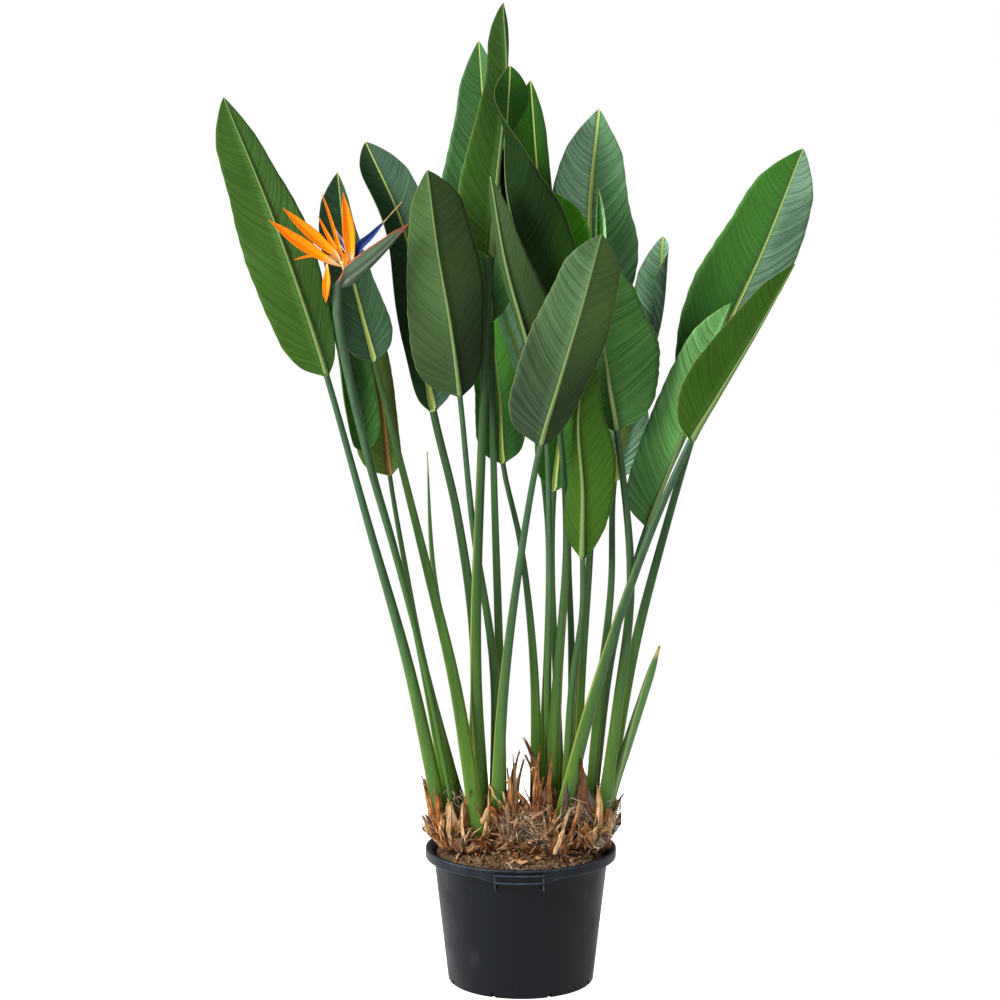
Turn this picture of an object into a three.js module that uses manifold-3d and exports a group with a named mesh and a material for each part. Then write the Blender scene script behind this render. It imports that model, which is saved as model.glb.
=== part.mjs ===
// A potted bird of paradise: a clump of long-stalked leaves and one flower in a round nursery pot.
// Millimetres, +Z up. The origin is the centre of the pot's underside, and -Y is the plant's front.

import * as THREE from "three";
import { mergeVertices } from "three/addons/utils/BufferGeometryUtils.js";
import Module from "manifold-3d";

const wasm = await Module();
wasm.setup();

// Pot
const POT_SIDES = 34;
const BASE_RADIUS = 122;
const BASE_ROUNDING = 4;
const WALL_THICKNESS = 3;
const WALL_TOP_RADIUS = 146;
const RIM_RADIUS = 160;
const RIM_TOP = 228;
const RIM_BOTTOM = 212;
const RIM_ROUNDING = 3;
const RIM_LIP = 8;
const NOTCHES = 8;
const NOTCH_WIDTH = 7;
const NOTCH_HEIGHT = 8;
const GRIP_REACH = 168;
const GRIP_HALF_WIDTH = 41;
const GRIP_TOP = 222;
const GRIP_BOTTOM = 206;
const GRIP_ROOT = 143.5;
const GRIP_FIN_FOOT = 192;
const GRIP_FIN = 3;
const GRIP_TURN = -1.5;
const GRIP_SEGMENTS = 6;
const GRIP_SINK = 1;

// Soil
const CLEARANCE = 0.4;
const SLIVER = 0.02;
const SOIL_GAP = 1.4;
const SOIL_EDGE = 218;
const SOIL_RISE = 19;
const SOIL_SPREAD = 143;
const SOIL_SIDES = 28;
const SOIL_RINGS = [40, 75, 105, 128];
const SOIL_BUMP = 5;
const MOUTH_REACH = 136;
const RIM_CLEARANCE = 4;

// Crowns: the rootstocks with dry husks that the stalks stand in
const CROWN_SIDES = 15;
const CROWN_LEVELS = [[196, 0.86], [218, 1], [240, 0.97], [266, 0.86], [290, 0.66], [308, 0.3]];
const CROWN_WIDEST = 240;
const CROWN_TOP = 308;
const CROWN_LEAN = 18;
const CROWN_LUMP = 0.05;
const CROWN_FINE_LUMP = 0.035;
const CROWN_TOP_SWELL = 8;
const HOLE_STEPS = [0, 0.15, 0.42];
const HUSK_FOOT = 228;
const HUSK_STEPS = [0, 0.45, 0.8, 1];
const HUSK_WIDTHS = [0.9, 1, 0.6, 0.06];
const HUSK_THICKNESS = 2.2;
const HUSK_BOW = 0.35;
const ROOTS = 6;
const ROOT_HALF_WIDTH = 1.6;
const ROOT_SPREAD = [0.8, 1.02, 1.13, 1.17];
const ROOT_HEIGHTS = [252, 248, 228, 204];
const ROOT_START_SCATTER = 16;
const ROOT_SCATTER = 0.7;
const ROOT_SWERVE = 0.25;
const ROOT_STEPS = [0, 0.25, 0.5, 0.75, 1];
const ROOT_CORNERS = [90, 210, 330];
const BETWEEN_CROWNS = 0.55;

// Leaves
const BLADE_THICKNESS = 1.2;
const RIB_DEPTH = 0.75;
const RIB_TIP_DEPTH = 1.2;
const RIB_TAPER = 0.7;
const RIB_FOOT_WIDTH = 0.11;
const RIB_TIP_WIDTH = 0.2;
const FOOT_ROUNDING = 0.16;
const TIP_ROUNDING = 0.13;
const TIP_POWER = 0.7;
const TIP_HALF_WIDTH = 1.6;
const BLADE_STEPS = [0, 0.02, 0.08, 0.18, 0.32, 0.48, 0.64, 0.78, 0.89, 0.96, 1];
const SPAN_DIVISIONS = 60;
const TWISTED_STEPS = [0, 0.02, 0.08, 0.18, 0.32, 0.46, 0.56, 0.64, 0.71, 0.77, 0.83, 0.89, 0.95, 1];
const STALK_STEPS = [0, 0.15, 0.42, 0.72];
const STALK_TAPER = 1.6;
const STALK_FOOT_FLATNESS = 0.6;
const STALK_TOP_FLATNESS = 0.9;
const SPEAR_STEPS = [0, 0.2, 0.45, 0.7, 0.88, 1];
const SPEAR_FLATNESS = 0.75;
const PETAL_STEPS = [0, 0.15, 0.38, 0.62, 0.85, 1];
const PEG_SIDES = 8;

const colours = {
  pot: 0x23262a,
  soil: 0x3b2a1e,
  husk: 0x9a6a40,
  upper: 0x2f6b35,
  under: 0x4d7442,
  young: 0x6d9a45,
  spathe: 0x5a7158,
  orange: 0xff8a0a,
  blue: 0x2f4a86,
};

function material(colour, roughness) {
  return new THREE.MeshStandardMaterial({ color: colour, roughness, metalness: 0 });
}

const finishes = {
  pot: material(colours.pot, 0.5),
  soil: material(colours.soil, 0.95),
  husk: material(colours.husk, 0.85),
  upper: material(colours.upper, 0.4),
  under: material(colours.under, 0.5),
  young: material(colours.young, 0.45),
  spathe: material(colours.spathe, 0.5),
  orange: material(colours.orange, 0.45),
  blue: material(colours.blue, 0.45),
};

const radians = THREE.MathUtils.degToRad;
const lerp = THREE.MathUtils.lerp;

// Seeded chance, the same on every run: an even value from 0 to 1 for a whole number.
function chance(seed) {
  const wave = Math.sin(seed * 12.9898 + 4.1414) * 43758.5453;
  return wave - Math.floor(wave);
}

function vector(p) {
  return new THREE.Vector3(p[0], p[1], p[2]);
}

// A level direction: 0 looks at the viewer (-Y), 90 at +X, 180 away from the viewer.
function facing(degrees) {
  return new THREE.Vector3(Math.sin(radians(degrees)), -Math.cos(radians(degrees)), 0);
}

// Solids

function solidOf(geometry) {
  const bare = geometry.clone();
  bare.deleteAttribute("normal");
  bare.deleteAttribute("uv");
  const merged = mergeVertices(bare, 1e-4);
  const corners = merged.index.array;
  const kept = [];
  for (let i = 0; i < corners.length; i += 3) {
    const [a, b, c] = corners.slice(i, i + 3);
    if (a !== b && b !== c && c !== a) kept.push(a, b, c);
  }
  return new wasm.Manifold(
    new wasm.Mesh({
      numProp: 3,
      vertProperties: new Float32Array(merged.attributes.position.array),
      triVerts: new Uint32Array(kept),
    }),
  );
}

function joined(geometries) {
  return wasm.Manifold.union(geometries.map(solidOf));
}

// A round piece from its outline of [radius, height] points.
function turned(outline, sides) {
  const profile = outline.map(([radius, height]) => new THREE.Vector2(radius, height));
  return new THREE.LatheGeometry([...profile, profile[0]], sides).rotateX(Math.PI / 2);
}

function geometryOf(solid) {
  const mesh = solid.getMesh();
  const geometry = new THREE.BufferGeometry();
  geometry.setAttribute("position", new THREE.BufferAttribute(new Float32Array(mesh.vertProperties), 3));
  geometry.setIndex(new THREE.BufferAttribute(new Uint32Array(mesh.triVerts), 1));
  geometry.computeVertexNormals();
  return geometry;
}

// The largest body of a cut solid, without the scraps and slivers that a cut leaves.
function mainBody(solid) {
  const whole = solid.simplify(SLIVER);
  return whole.decompose().reduce((best, body) => (body.volume() > best.volume() ? body : best));
}

// A closed skin over rings of equal length. Each ring runs round the same way, seen from its far end.
function loft(rings) {
  const count = rings[0].length;
  const positions = rings.flat().flatMap((p) => [p.x, p.y, p.z]);
  const index = [];
  for (let i = 0; i + 1 < rings.length; i++) {
    for (let j = 0; j < count; j++) {
      const a = i * count + j;
      const b = i * count + ((j + 1) % count);
      const c = a + count;
      const d = b + count;
      if (j < count / 2 - 1) index.push(a, b, d, a, d, c);
      else index.push(a, b, c, b, d, c);
    }
  }
  const first = rings.length * count;
  const last = (rings.length - 1) * count;
  for (const ring of [rings[0], rings[rings.length - 1]]) {
    const middle = ring.reduce((sum, p) => sum.add(p), new THREE.Vector3()).divideScalar(count);
    positions.push(middle.x, middle.y, middle.z);
  }
  for (let j = 0; j < count; j++) {
    const next = (j + 1) % count;
    index.push(first, next, j);
    index.push(first + 1, last + j, last + next);
  }
  const geometry = new THREE.BufferGeometry();
  geometry.setAttribute("position", new THREE.Float32BufferAttribute(positions, 3));
  geometry.setIndex(index);
  return geometry;
}

// Leaves: a smooth line runs up the stalk and the midrib, and every cross-section is square to it.

class Midline {
  constructor(points, footIndex) {
    this.curve = new THREE.CatmullRomCurve3(points.map(vector), false, "centripetal");
    this.curve.arcLengthDivisions = SPAN_DIVISIONS * (points.length - 1);
    const lengths = this.curve.getLengths();
    this.length = lengths[lengths.length - 1];
    this.foot = lengths[SPAN_DIVISIONS * footIndex] / this.length;
  }

  // Share of the whole length at a share of the stalk or of the blade.
  onStalk(share) {
    return this.foot * share;
  }

  onBlade(share) {
    return this.foot + (1 - this.foot) * share;
  }

  // The frame at a share of the length: along, across (right, seen on the upper face) and out of that face.
  frame(share, face) {
    const along = this.curve.getTangentAt(share);
    const out = face.clone().addScaledVector(along, -face.dot(along)).normalize();
    const across = new THREE.Vector3().crossVectors(along, out);
    return { centre: this.curve.getPointAt(share), across, out };
  }
}

function place(frame, across, out) {
  return frame.centre.clone().addScaledVector(frame.across, across).addScaledVector(frame.out, out);
}

// A smooth line through evenly spaced values, read at a share of its length.
function along(values, share) {
  const step = Math.min(Math.max(share, 0), 1) * (values.length - 1);
  const i = Math.min(Math.floor(step), values.length - 2);
  const t = step - i;
  const before = values[Math.max(i - 1, 0)];
  const after = values[Math.min(i + 2, values.length - 1)];
  const startSlope = (values[i + 1] - before) / 2;
  const endSlope = (after - values[i]) / 2;
  const rise = values[i + 1] - values[i];
  return (
    values[i] +
    startSlope * t +
    (3 * rise - 2 * startSlope - endSlope) * t * t +
    (startSlope + endSlope - 2 * rise) * t * t * t
  );
}

// Half the blade's width: the spec's widths, rounded off over the foot and drawn to a point over the tip.
function reach(spec, side, share) {
  const foot = Math.sqrt(1 - (1 - Math.min(share / FOOT_ROUNDING, 1)) ** 2);
  const tip = Math.min((1 - share) / TIP_ROUNDING, 1) ** TIP_POWER;
  return Math.max(along(spec.half[side], share) * foot * tip, TIP_HALF_WIDTH);
}

// A point of one half of the blade: it leaves the midrib at the fold angle and bends by the curl to its edge.
function bladePoint(spec, frame, share, t, lift) {
  if (t === 0) return place(frame, 0, lift);
  const side = t < 0 ? 0 : 1;
  const sign = t < 0 ? -1 : 1;
  const width = reach(spec, side, share);
  const run = Math.abs(t) * width;
  const fold = radians(along(spec.fold[side], share));
  const bend = radians(along(spec.curl[side], share)) / Math.max(...spec.half[side]);
  const turn = fold + bend * run;
  const out = Math.abs(bend) > 1e-6 ? (Math.cos(fold) - Math.cos(turn)) / bend : run * Math.sin(fold);
  const across = Math.abs(bend) > 1e-6 ? (Math.sin(turn) - Math.sin(fold)) / bend : run * Math.cos(fold);
  const [height, count, start] = spec.wave;
  const swell = (height * width) / Math.max(...spec.half[side]);
  const ripple = swell * t * t * Math.sin(2 * Math.PI * (count * share + start) + side * 2);
  const rise = lift + ripple;
  return place(frame, sign * (across - rise * Math.sin(turn)), out + rise * Math.cos(turn));
}

// Twelve points round a section: five over the upper face and seven under it, where the rib stands out.
const STALK_ANGLES = [165, 130, 90, 50, 15, -15, -50, -70, -90, -110, -130, -165];

function stalkRing(frame, width, depth) {
  return STALK_ANGLES.map((angle) => {
    const a = radians(angle);
    return place(frame, (width / 2) * Math.cos(a), (depth / 2) * Math.sin(a));
  });
}

function bladeRing(spec, frame, share) {
  const half = BLADE_THICKNESS / 2;
  const ribDepth = lerp(spec.stem[1] * RIB_DEPTH, RIB_TIP_DEPTH, share ** RIB_TAPER);
  const ribShare = lerp(RIB_FOOT_WIDTH, RIB_TIP_WIDTH, share);
  const top = [-1, -0.5, 0, 0.5, 1].map((t) => bladePoint(spec, frame, share, t, half));
  const under = [1, 0.5, ribShare].map((t) => bladePoint(spec, frame, share, t, -half));
  const farUnder = [-ribShare, -0.5, -1].map((t) => bladePoint(spec, frame, share, t, -half));
  return [...top, ...under, place(frame, 0, -ribDepth), ...farUnder];
}

function stalkSize(spec, share) {
  const width = lerp(spec.stem[1], spec.stem[0], (1 - share) ** STALK_TAPER);
  return { width, depth: width * lerp(STALK_FOOT_FLATNESS, STALK_TOP_FLATNESS, share) };
}

// The way the upper face looks on the blade: a bearing, or for the flower a fixed direction.
function bladeFace(spec, share) {
  return spec.up ? vector(spec.up) : facing(along(spec.face, share));
}

function stalkFace(spec, share) {
  if (spec.up) return vector(spec.up);
  const rest = 180 * Math.round(spec.face[0] / 180);
  return facing(lerp(rest, spec.face[0], share));
}

function leafMidline(spec) {
  return new Midline([...spec.stalk, ...spec.blade], spec.stalk.length);
}

function stalkRings(spec, midline, steps, grow) {
  return steps.map((share) => {
    const { width, depth } = stalkSize(spec, share);
    const frame = midline.frame(midline.onStalk(share), stalkFace(spec, share));
    return stalkRing(frame, width + 2 * grow, depth + 2 * grow);
  });
}

function leaf(spec) {
  const midline = leafMidline(spec);
  const rings = stalkRings(spec, midline, STALK_STEPS, 0);
  for (const share of spec.steps ?? BLADE_STEPS) {
    const frame = midline.frame(midline.onBlade(share), bladeFace(spec, share));
    if (share > 0) rings.push(bladeRing(spec, frame, share));
    else rings.push(stalkRing(frame, spec.stem[1], spec.stem[1] * STALK_TOP_FLATNESS));
  }
  return loft(rings);
}

// Each leaf: points up the stalk, then up the midrib; the bearing of its upper face from foot to tip; half
// widths, fold and curl of left and right halves; edge wave (height, waves, start); stalk's foot, top width.
const leaves = [
  {
    name: "leaf_far_left",
    stalk: [[-126, -14, 245], [-185, -30, 535], [-250, -50, 780]],
    blade: [[-315, -70, 1025], [-350, -80, 1140], [-400, -85, 1285], [-475, -75, 1470]],
    face: [193, 193],
    half: [[30, 43, 50, 34, 18], [50, 62, 66, 50, 36]],
    fold: [[12, 12], [12, 12]],
    curl: [[8, 8], [8, 8]],
    wave: [3, 1.5, 0],
    stem: [29, 10],
    finish: "under",
  },
  {
    name: "leaf_low_left",
    stalk: [[-112, 20, 245], [-180, 30, 610], [-220, 35, 760]],
    blade: [[-260, 40, 890], [-275, 45, 975], [-290, 50, 1065], [-315, 60, 1160]],
    face: [0, 0],
    half: [[36, 44, 44, 34, 20], [32, 38, 38, 28, 20]],
    fold: [[30, 30], [12, 12]],
    curl: [[80, 80], [10, 10]],
    wave: [2, 1.5, 0.3],
    stem: [20, 9],
    finish: "upper",
  },
  {
    name: "leaf_low_left_back",
    stalk: [[-90, 38, 245], [-165, 58, 535], [-195, 68, 695]],
    blade: [[-220, 76, 845], [-230, 84, 940], [-240, 92, 1020], [-255, 105, 1145]],
    face: [10, 10],
    half: [[50, 56, 56, 45, 30], [26, 28, 26, 20, 14]],
    fold: [[15, 15], [30, 30]],
    curl: [[10, 10], [10, 10]],
    wave: [3, 1.5, 0.5],
    stem: [20, 8],
    finish: "young",
  },
  {
    name: "leaf_left_behind_flower",
    stalk: [[-68, -50, 245], [-110, -40, 515], [-160, -30, 725]],
    blade: [[-240, -20, 1045], [-260, -15, 1120], [-285, -10, 1225], [-300, 10, 1350]],
    face: [0, 0],
    half: [[44, 46, 46, 40, 26], [44, 50, 35, 21, 12]],
    fold: [[25, 25], [25, 25]],
    curl: [[8, 8], [8, 8]],
    wave: [4, 2, 0.25],
    stem: [30, 10],
    finish: "upper",
  },
  {
    name: "leaf_left_curled",
    stalk: [[-87, -8, 245], [-76, -1, 550], [-105, 5, 785]],
    blade: [[-145, 8, 960], [-165, 12, 1080], [-190, 18, 1250], [-255, 34, 1400]],
    face: [0, 0],
    half: [[34, 50, 58, 58, 44], [46, 64, 68, 52, 42]],
    fold: [[18, 18], [20, 20]],
    curl: [[78, 78], [8, 8]],
    wave: [4, 1.5, 0.1],
    stem: [24, 13],
    finish: "upper",
  },
  {
    name: "leaf_left_front",
    stalk: [[-44, 12, 245], [-45, 15, 525], [-80, -12, 775]],
    blade: [[-100, -55, 990], [-115, -75, 1110], [-135, -90, 1230], [-150, -105, 1355]],
    face: [180, 180],
    half: [[38, 54, 68, 60, 46], [68, 72, 64, 44, 26]],
    fold: [[15, 15], [15, 15]],
    curl: [[8, 8], [8, 8]],
    wave: [3, 1.5, 0],
    stem: [22, 9],
    finish: "under",
  },
  {
    name: "leaf_tallest",
    stalk: [[-59, -12, 245], [-75, -22, 535], [-65, -27, 900]],
    blade: [[-50, -30, 1215], [-39, -32, 1355], [-25, -35, 1500], [-30, -30, 1620]],
    face: [225, 225, 200],
    half: [[40, 44, 34, 20, 20], [50, 60, 46, 32, 26]],
    fold: [[45, 45], [45, 25]],
    curl: [[5, 5], [5, 5]],
    wave: [3, 1.5, 0.2],
    stem: [24, 13],
    finish: "young",
  },
  {
    name: "leaf_top_back_left",
    stalk: [[-32, 44, 245], [-35, 38, 500], [-45, 34, 840]],
    blade: [[-50, 42, 1105], [-55, 52, 1240], [-60, 66, 1405], [-70, 85, 1565]],
    face: [350, 350],
    half: [[66, 84, 74, 46, 26], [45, 58, 56, 40, 24]],
    fold: [[15, 15], [25, 25]],
    curl: [[8, 8], [8, 8]],
    wave: [3, 2, 0.6],
    stem: [20, 10],
    finish: "upper",
  },
  {
    name: "leaf_front",
    stalk: [[-42, -34, 245], [-30, -55, 495], [0, -80, 740]],
    blade: [[30, -100, 915], [60, -115, 1020], [95, -130, 1140], [125, -145, 1255]],
    face: [190, 190],
    half: [[32, 48, 60, 58, 48], [64, 70, 68, 52, 38]],
    fold: [[15, 15], [12, 12]],
    curl: [[8, 8], [8, 8]],
    wave: [3, 1.5, 0],
    stem: [26, 10],
    finish: "under",
  },
  {
    name: "leaf_low_centre",
    stalk: [[26, 14, 245], [22, 26, 525], [0, 52, 730]],
    blade: [[-30, 80, 865], [-35, 95, 965], [-45, 108, 1055], [-55, 120, 1185]],
    face: [0, 0],
    half: [[42, 46, 44, 36, 26], [42, 46, 44, 36, 26]],
    fold: [[20, 20], [20, 20]],
    curl: [[10, 10], [10, 10]],
    wave: [3, 2, 0.4],
    stem: [24, 9],
    finish: "upper",
  },
  {
    name: "leaf_back_centre",
    stalk: [[30, 46, 245], [45, 52, 570], [45, 62, 755]],
    blade: [[30, 66, 890], [10, 74, 1000], [-25, 82, 1105], [-65, 90, 1210]],
    face: [20, 20],
    half: [[24, 32, 34, 26, 16], [30, 40, 42, 32, 20]],
    fold: [[45, 45], [20, 20]],
    curl: [[10, 10], [10, 10]],
    wave: [2, 1.5, 0],
    stem: [18, 8],
    finish: "upper",
  },
  {
    name: "leaf_hooked",
    stalk: [[51, 30, 245], [45, 22, 475], [47, -5, 715]],
    blade: [[35, -45, 985], [10, -62, 1080], [-25, -78, 1205], [-50, -84, 1345]],
    face: [150, 150],
    half: [[50, 60, 47, 27, 14], [28, 26, 22, 22, 26]],
    fold: [[30, 30], [30, 30]],
    curl: [[8, 8], [8, 8]],
    wave: [2, 1.5, 0.5],
    stem: [16, 9],
    finish: "under",
  },
  {
    name: "leaf_top_folded",
    stalk: [[50, 8, 245], [60, 4, 495], [75, 0, 750]],
    blade: [[60, -2, 955], [28, -20, 1130], [-23, -34, 1325], [-19, -40, 1521]],
    steps: TWISTED_STEPS,
    face: [100, 105, 105, 62, 0],
    half: [[40, 70, 86, 70, 44], [26, 30, 38, 40, 56]],
    fold: [[60, 62, 65, 30, 10], [0, 0, 0, -40, 0]],
    curl: [[20, 20, 20, 80, 90], [5, 5]],
    wave: [2, 1.5, 0],
    stem: [26, 11],
    finish: "under",
  },
  {
    name: "leaf_behind_folded",
    stalk: [[70, 32, 245], [60, 30, 490], [52, 30, 695]],
    blade: [[55, 32, 825], [70, 32, 980], [70, 32, 1145], [45, 34, 1320]],
    face: [0, 0],
    half: [[40, 44, 40, 34, 40], [52, 62, 66, 62, 78]],
    fold: [[12, 12], [20, 20]],
    curl: [[8, 8], [30, 30]],
    wave: [3, 2, 0],
    stem: [18, 9],
    finish: "upper",
  },
  {
    name: "leaf_top_back_right",
    stalk: [[86, 52, 245], [85, 56, 570], [80, 56, 705]],
    blade: [[80, 58, 940], [60, 58, 1125], [30, 58, 1320], [15, 56, 1500]],
    face: [0, 0],
    half: [[50, 64, 68, 56, 40], [34, 34, 28, 24, 20]],
    fold: [[8, 8], [25, 25]],
    curl: [[8, 8], [8, 8]],
    wave: [3, 1.5, 0],
    stem: [16, 9],
    finish: "upper",
  },
  {
    name: "leaf_top_right",
    stalk: [[93, 31, 245], [100, 38, 480], [115, 54, 705]],
    blade: [[130, 80, 980], [120, 96, 1140], [115, 110, 1280], [130, 126, 1455]],
    face: [0, 0],
    half: [[50, 66, 74, 65, 36], [42, 58, 84, 62, 30]],
    fold: [[15, 15], [20, 20]],
    curl: [[8, 8], [8, 8]],
    wave: [6, 2.5, 0.2],
    stem: [22, 10],
    finish: "upper",
  },
  {
    name: "leaf_young_rolled",
    stalk: [[92, 6, 245], [100, 13, 480], [113, 18, 705]],
    blade: [[132, 12, 975], [129, 8, 1095], [125, 8, 1210], [125, 10, 1325]],
    face: [10, 10],
    half: [[28, 34, 34, 28, 20], [28, 34, 34, 28, 20]],
    fold: [[66, 66], [66, 66]],
    curl: [[14, 14], [14, 14]],
    wave: [0, 1, 0],
    stem: [16, 9],
    finish: "young",
  },
  {
    name: "leaf_right_narrow",
    stalk: [[112, -6, 245], [130, 0, 475], [150, 18, 665]],
    blade: [[155, 38, 840], [180, 54, 950], [225, 64, 1110], [235, 70, 1245]],
    face: [350, 350],
    half: [[50, 62, 60, 46, 32], [36, 42, 44, 42, 34]],
    fold: [[15, 15], [5, 5]],
    curl: [[8, 8], [8, 50, 200, 215, 215]],
    wave: [3, 1.5, 0],
    stem: [22, 10],
    finish: "upper",
  },
  {
    name: "leaf_right_front",
    stalk: [[131, -24, 245], [160, -28, 470], [180, -36, 685]],
    blade: [[155, -55, 935], [140, -65, 1025], [130, -72, 1105], [135, -72, 1210]],
    face: [175, 175],
    half: [[60, 84, 90, 66, 38], [50, 60, 60, 45, 30]],
    fold: [[15, 15], [15, 15]],
    curl: [[8, 8], [8, 8]],
    wave: [4, 1.5, 0],
    stem: [26, 11],
    finish: "under",
  },
  {
    name: "leaf_low_front",
    stalk: [[74, -9, 245], [85, -25, 510], [100, -40, 630]],
    blade: [[100, -60, 725], [100, -74, 840], [92, -80, 955], [105, -82, 1075]],
    face: [150, 150],
    half: [[22, 46, 56, 34, 18], [76, 58, 26, 14, 10]],
    fold: [[30, 30], [30, 30]],
    curl: [[8, 8], [8, 8]],
    wave: [2, 1.5, 0],
    stem: [22, 9],
    finish: "young",
  },
  {
    name: "leaf_right_ribbed",
    stalk: [[116, 38, 245], [152, 24, 545], [184, 2, 690]],
    blade: [[207, -6, 770], [248, -14, 880], [294, -19, 1015], [341, -25, 1140]],
    face: [215, 215],
    half: [[12, 20, 28, 26, 16], [50, 60, 58, 48, 30]],
    fold: [[30, 30], [30, 30]],
    curl: [[8, 8], [8, 8]],
    wave: [3, 1.5, 0],
    stem: [20, 9],
    finish: "under",
  },
  {
    name: "leaf_right_folded",
    stalk: [[58, -35, 245], [115, -42, 475], [195, -56, 725]],
    blade: [[275, -70, 920], [315, -75, 990], [375, -70, 1090], [440, -60, 1205]],
    face: [225, 225],
    half: [[34, 44, 42, 30, 18], [42, 60, 54, 37, 17]],
    fold: [[82, 82], [45, 45]],
    curl: [[8, 8], [8, 8]],
    wave: [4, 1.5, 0],
    stem: [28, 12],
    finish: "under",
  },
  {
    name: "leaf_far_right",
    stalk: [[136, 26, 245], [190, 24, 560], [240, 26, 760]],
    blade: [[290, 35, 935], [335, 45, 1080], [400, 55, 1225], [465, 70, 1389]],
    face: [350, 350],
    half: [[44, 78, 92, 70, 42], [20, 40, 66, 60, 44]],
    fold: [[25, 25], [25, 25]],
    curl: [[8, 8], [8, 8]],
    wave: [4, 2, 0],
    stem: [26, 12],
    finish: "upper",
  },
];

// The flower: a round stem that widens into a folded boat, its open side up.
const flowerStem = {
  stalk: [[-104, -27, 245], [-155, -38, 520], [-205, -60, 730], [-250, -85, 900], [-293, -118, 1118]],
  blade: [[-294, -120, 1172], [-270, -120, 1190], [-222, -119, 1230], [-181, -118, 1270]],
  up: [-0.8, 0, 0.6],
  half: [[16, 25, 21, 14, 6], [16, 25, 21, 14, 6]],
  fold: [[56, 56], [56, 56]],
  curl: [[34, 34], [34, 34]],
  wave: [0, 1, 0],
  stem: [15, 15],
};

// A petal or sepal: points from its root to its tip, the way its inner face looks, half widths and fold.
function petal(points, up, half, fold) {
  const folds = [fold, fold];
  const spec = { half: [half, half], fold: [folds, folds], curl: [[0, 0], [0, 0]], wave: [0, 1, 0] };
  const midline = new Midline(points, 0);
  const rings = PETAL_STEPS.map((share) => {
    const frame = midline.frame(share, vector(up));
    const top = [-1, 0, 1].map((t) => bladePoint(spec, frame, share, t, BLADE_THICKNESS / 2));
    const under = [1, 0, -1].map((t) => bladePoint(spec, frame, share, t, -BLADE_THICKNESS / 2));
    return [...top, ...under];
  });
  return loft(rings);
}

// The stub that holds petals: a round peg between two points, thicker at its top.
function peg(from, to, footRadius, topRadius) {
  const line = vector(to).sub(vector(from));
  const way = line.clone().normalize();
  const upright = new THREE.Quaternion().setFromUnitVectors(new THREE.Vector3(0, 1, 0), way);
  const middle = vector(from).addScaledVector(line, 0.5);
  const geometry = new THREE.CylinderGeometry(topRadius, footRadius, line.length(), PEG_SIDES);
  return geometry.applyQuaternion(upright).translate(middle.x, middle.y, middle.z);
}

const sepals = [
  petal([[-289, -122, 1214], [-324, -126, 1222], [-359, -130, 1243], [-400, -134, 1278]],
    [0.2, -0.9, 0.3], [6, 10, 12, 10, 5], 28),
  petal([[-289, -118, 1217], [-318, -112, 1242], [-345, -108, 1263], [-379, -104, 1295]],
    [0.3, -0.9, 0.2], [6, 10, 12, 9, 4], 28),
  petal([[-285, -121, 1216], [-275, -124, 1248], [-277, -126, 1278], [-282, -126, 1321]],
    [0.1, -1, 0], [6, 11, 12, 9, 4], 30),
  petal([[-290, -116, 1219], [-300, -106, 1252], [-310, -102, 1283], [-318, -100, 1318]],
    [0.3, -1, 0], [3, 3, 3, 3, 2], 20),
  petal([[-289, -116, 1217], [-306, -110, 1242], [-324, -104, 1283]],
    [0.3, -1, 0], [3, 3, 3, 3, 2], 20),
  petal([[-290, -124, 1215], [-305, -129, 1204], [-309, -132, 1174], [-312, -132, 1147]],
    [-0.1, -1, 0], [2, 4, 9, 8, 4], 20),
  petal([[-289, -124, 1214], [-320, -132, 1212], [-360, -140, 1214]],
    [0, -1, 0.3], [3, 3, 3, 2, 1.6], 20),
  peg([-279.6, -120, 1194], [-288, -120, 1219], 2, 5),
];

const rightPetal = [
  petal([[-263, -120, 1228], [-254, -121, 1243], [-233, -122, 1262], [-189, -121, 1308]],
    [-0.4, -0.9, 0], [6, 9, 8, 2.5, 1.6], 35),
  peg([-258.4, -120, 1208.7], [-263, -120, 1231], 2, 3.4),
];

const leftPetal = [
  petal([[-277.5, -116, 1223], [-286, -106, 1238], [-295, -102, 1254], [-303, -100, 1270]],
    [0.4, -1, 0], [3, 5, 5, 3, 1.6], 35),
  peg([-270.7, -120.2, 1199.2], [-277, -117, 1226], 2, 2.8),
];

// Young leaves still rolled into spears: points up the spear, and its width from foot to tip.
const spears = [
  {
    name: "spear_left",
    points: [[-76, 14, 245], [-110, 2, 495], [-145, 0, 695], [-155, -5, 895]],
    widths: [13, 12, 11, 8, 2],
  },
  {
    name: "spear_right",
    points: [[155, -2, 245], [172, -3, 395], [200, -6, 485], [230, -8, 570]],
    widths: [14, 16, 17, 16, 4],
  },
];

function spearRings(spec, steps, grow) {
  const midline = new Midline(spec.points, 0);
  return steps.map((share) => {
    const width = along(spec.widths, share);
    return stalkRing(midline.frame(share, facing(0)), width + 2 * grow, width * SPEAR_FLATNESS + 2 * grow);
  });
}

// Pot

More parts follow.
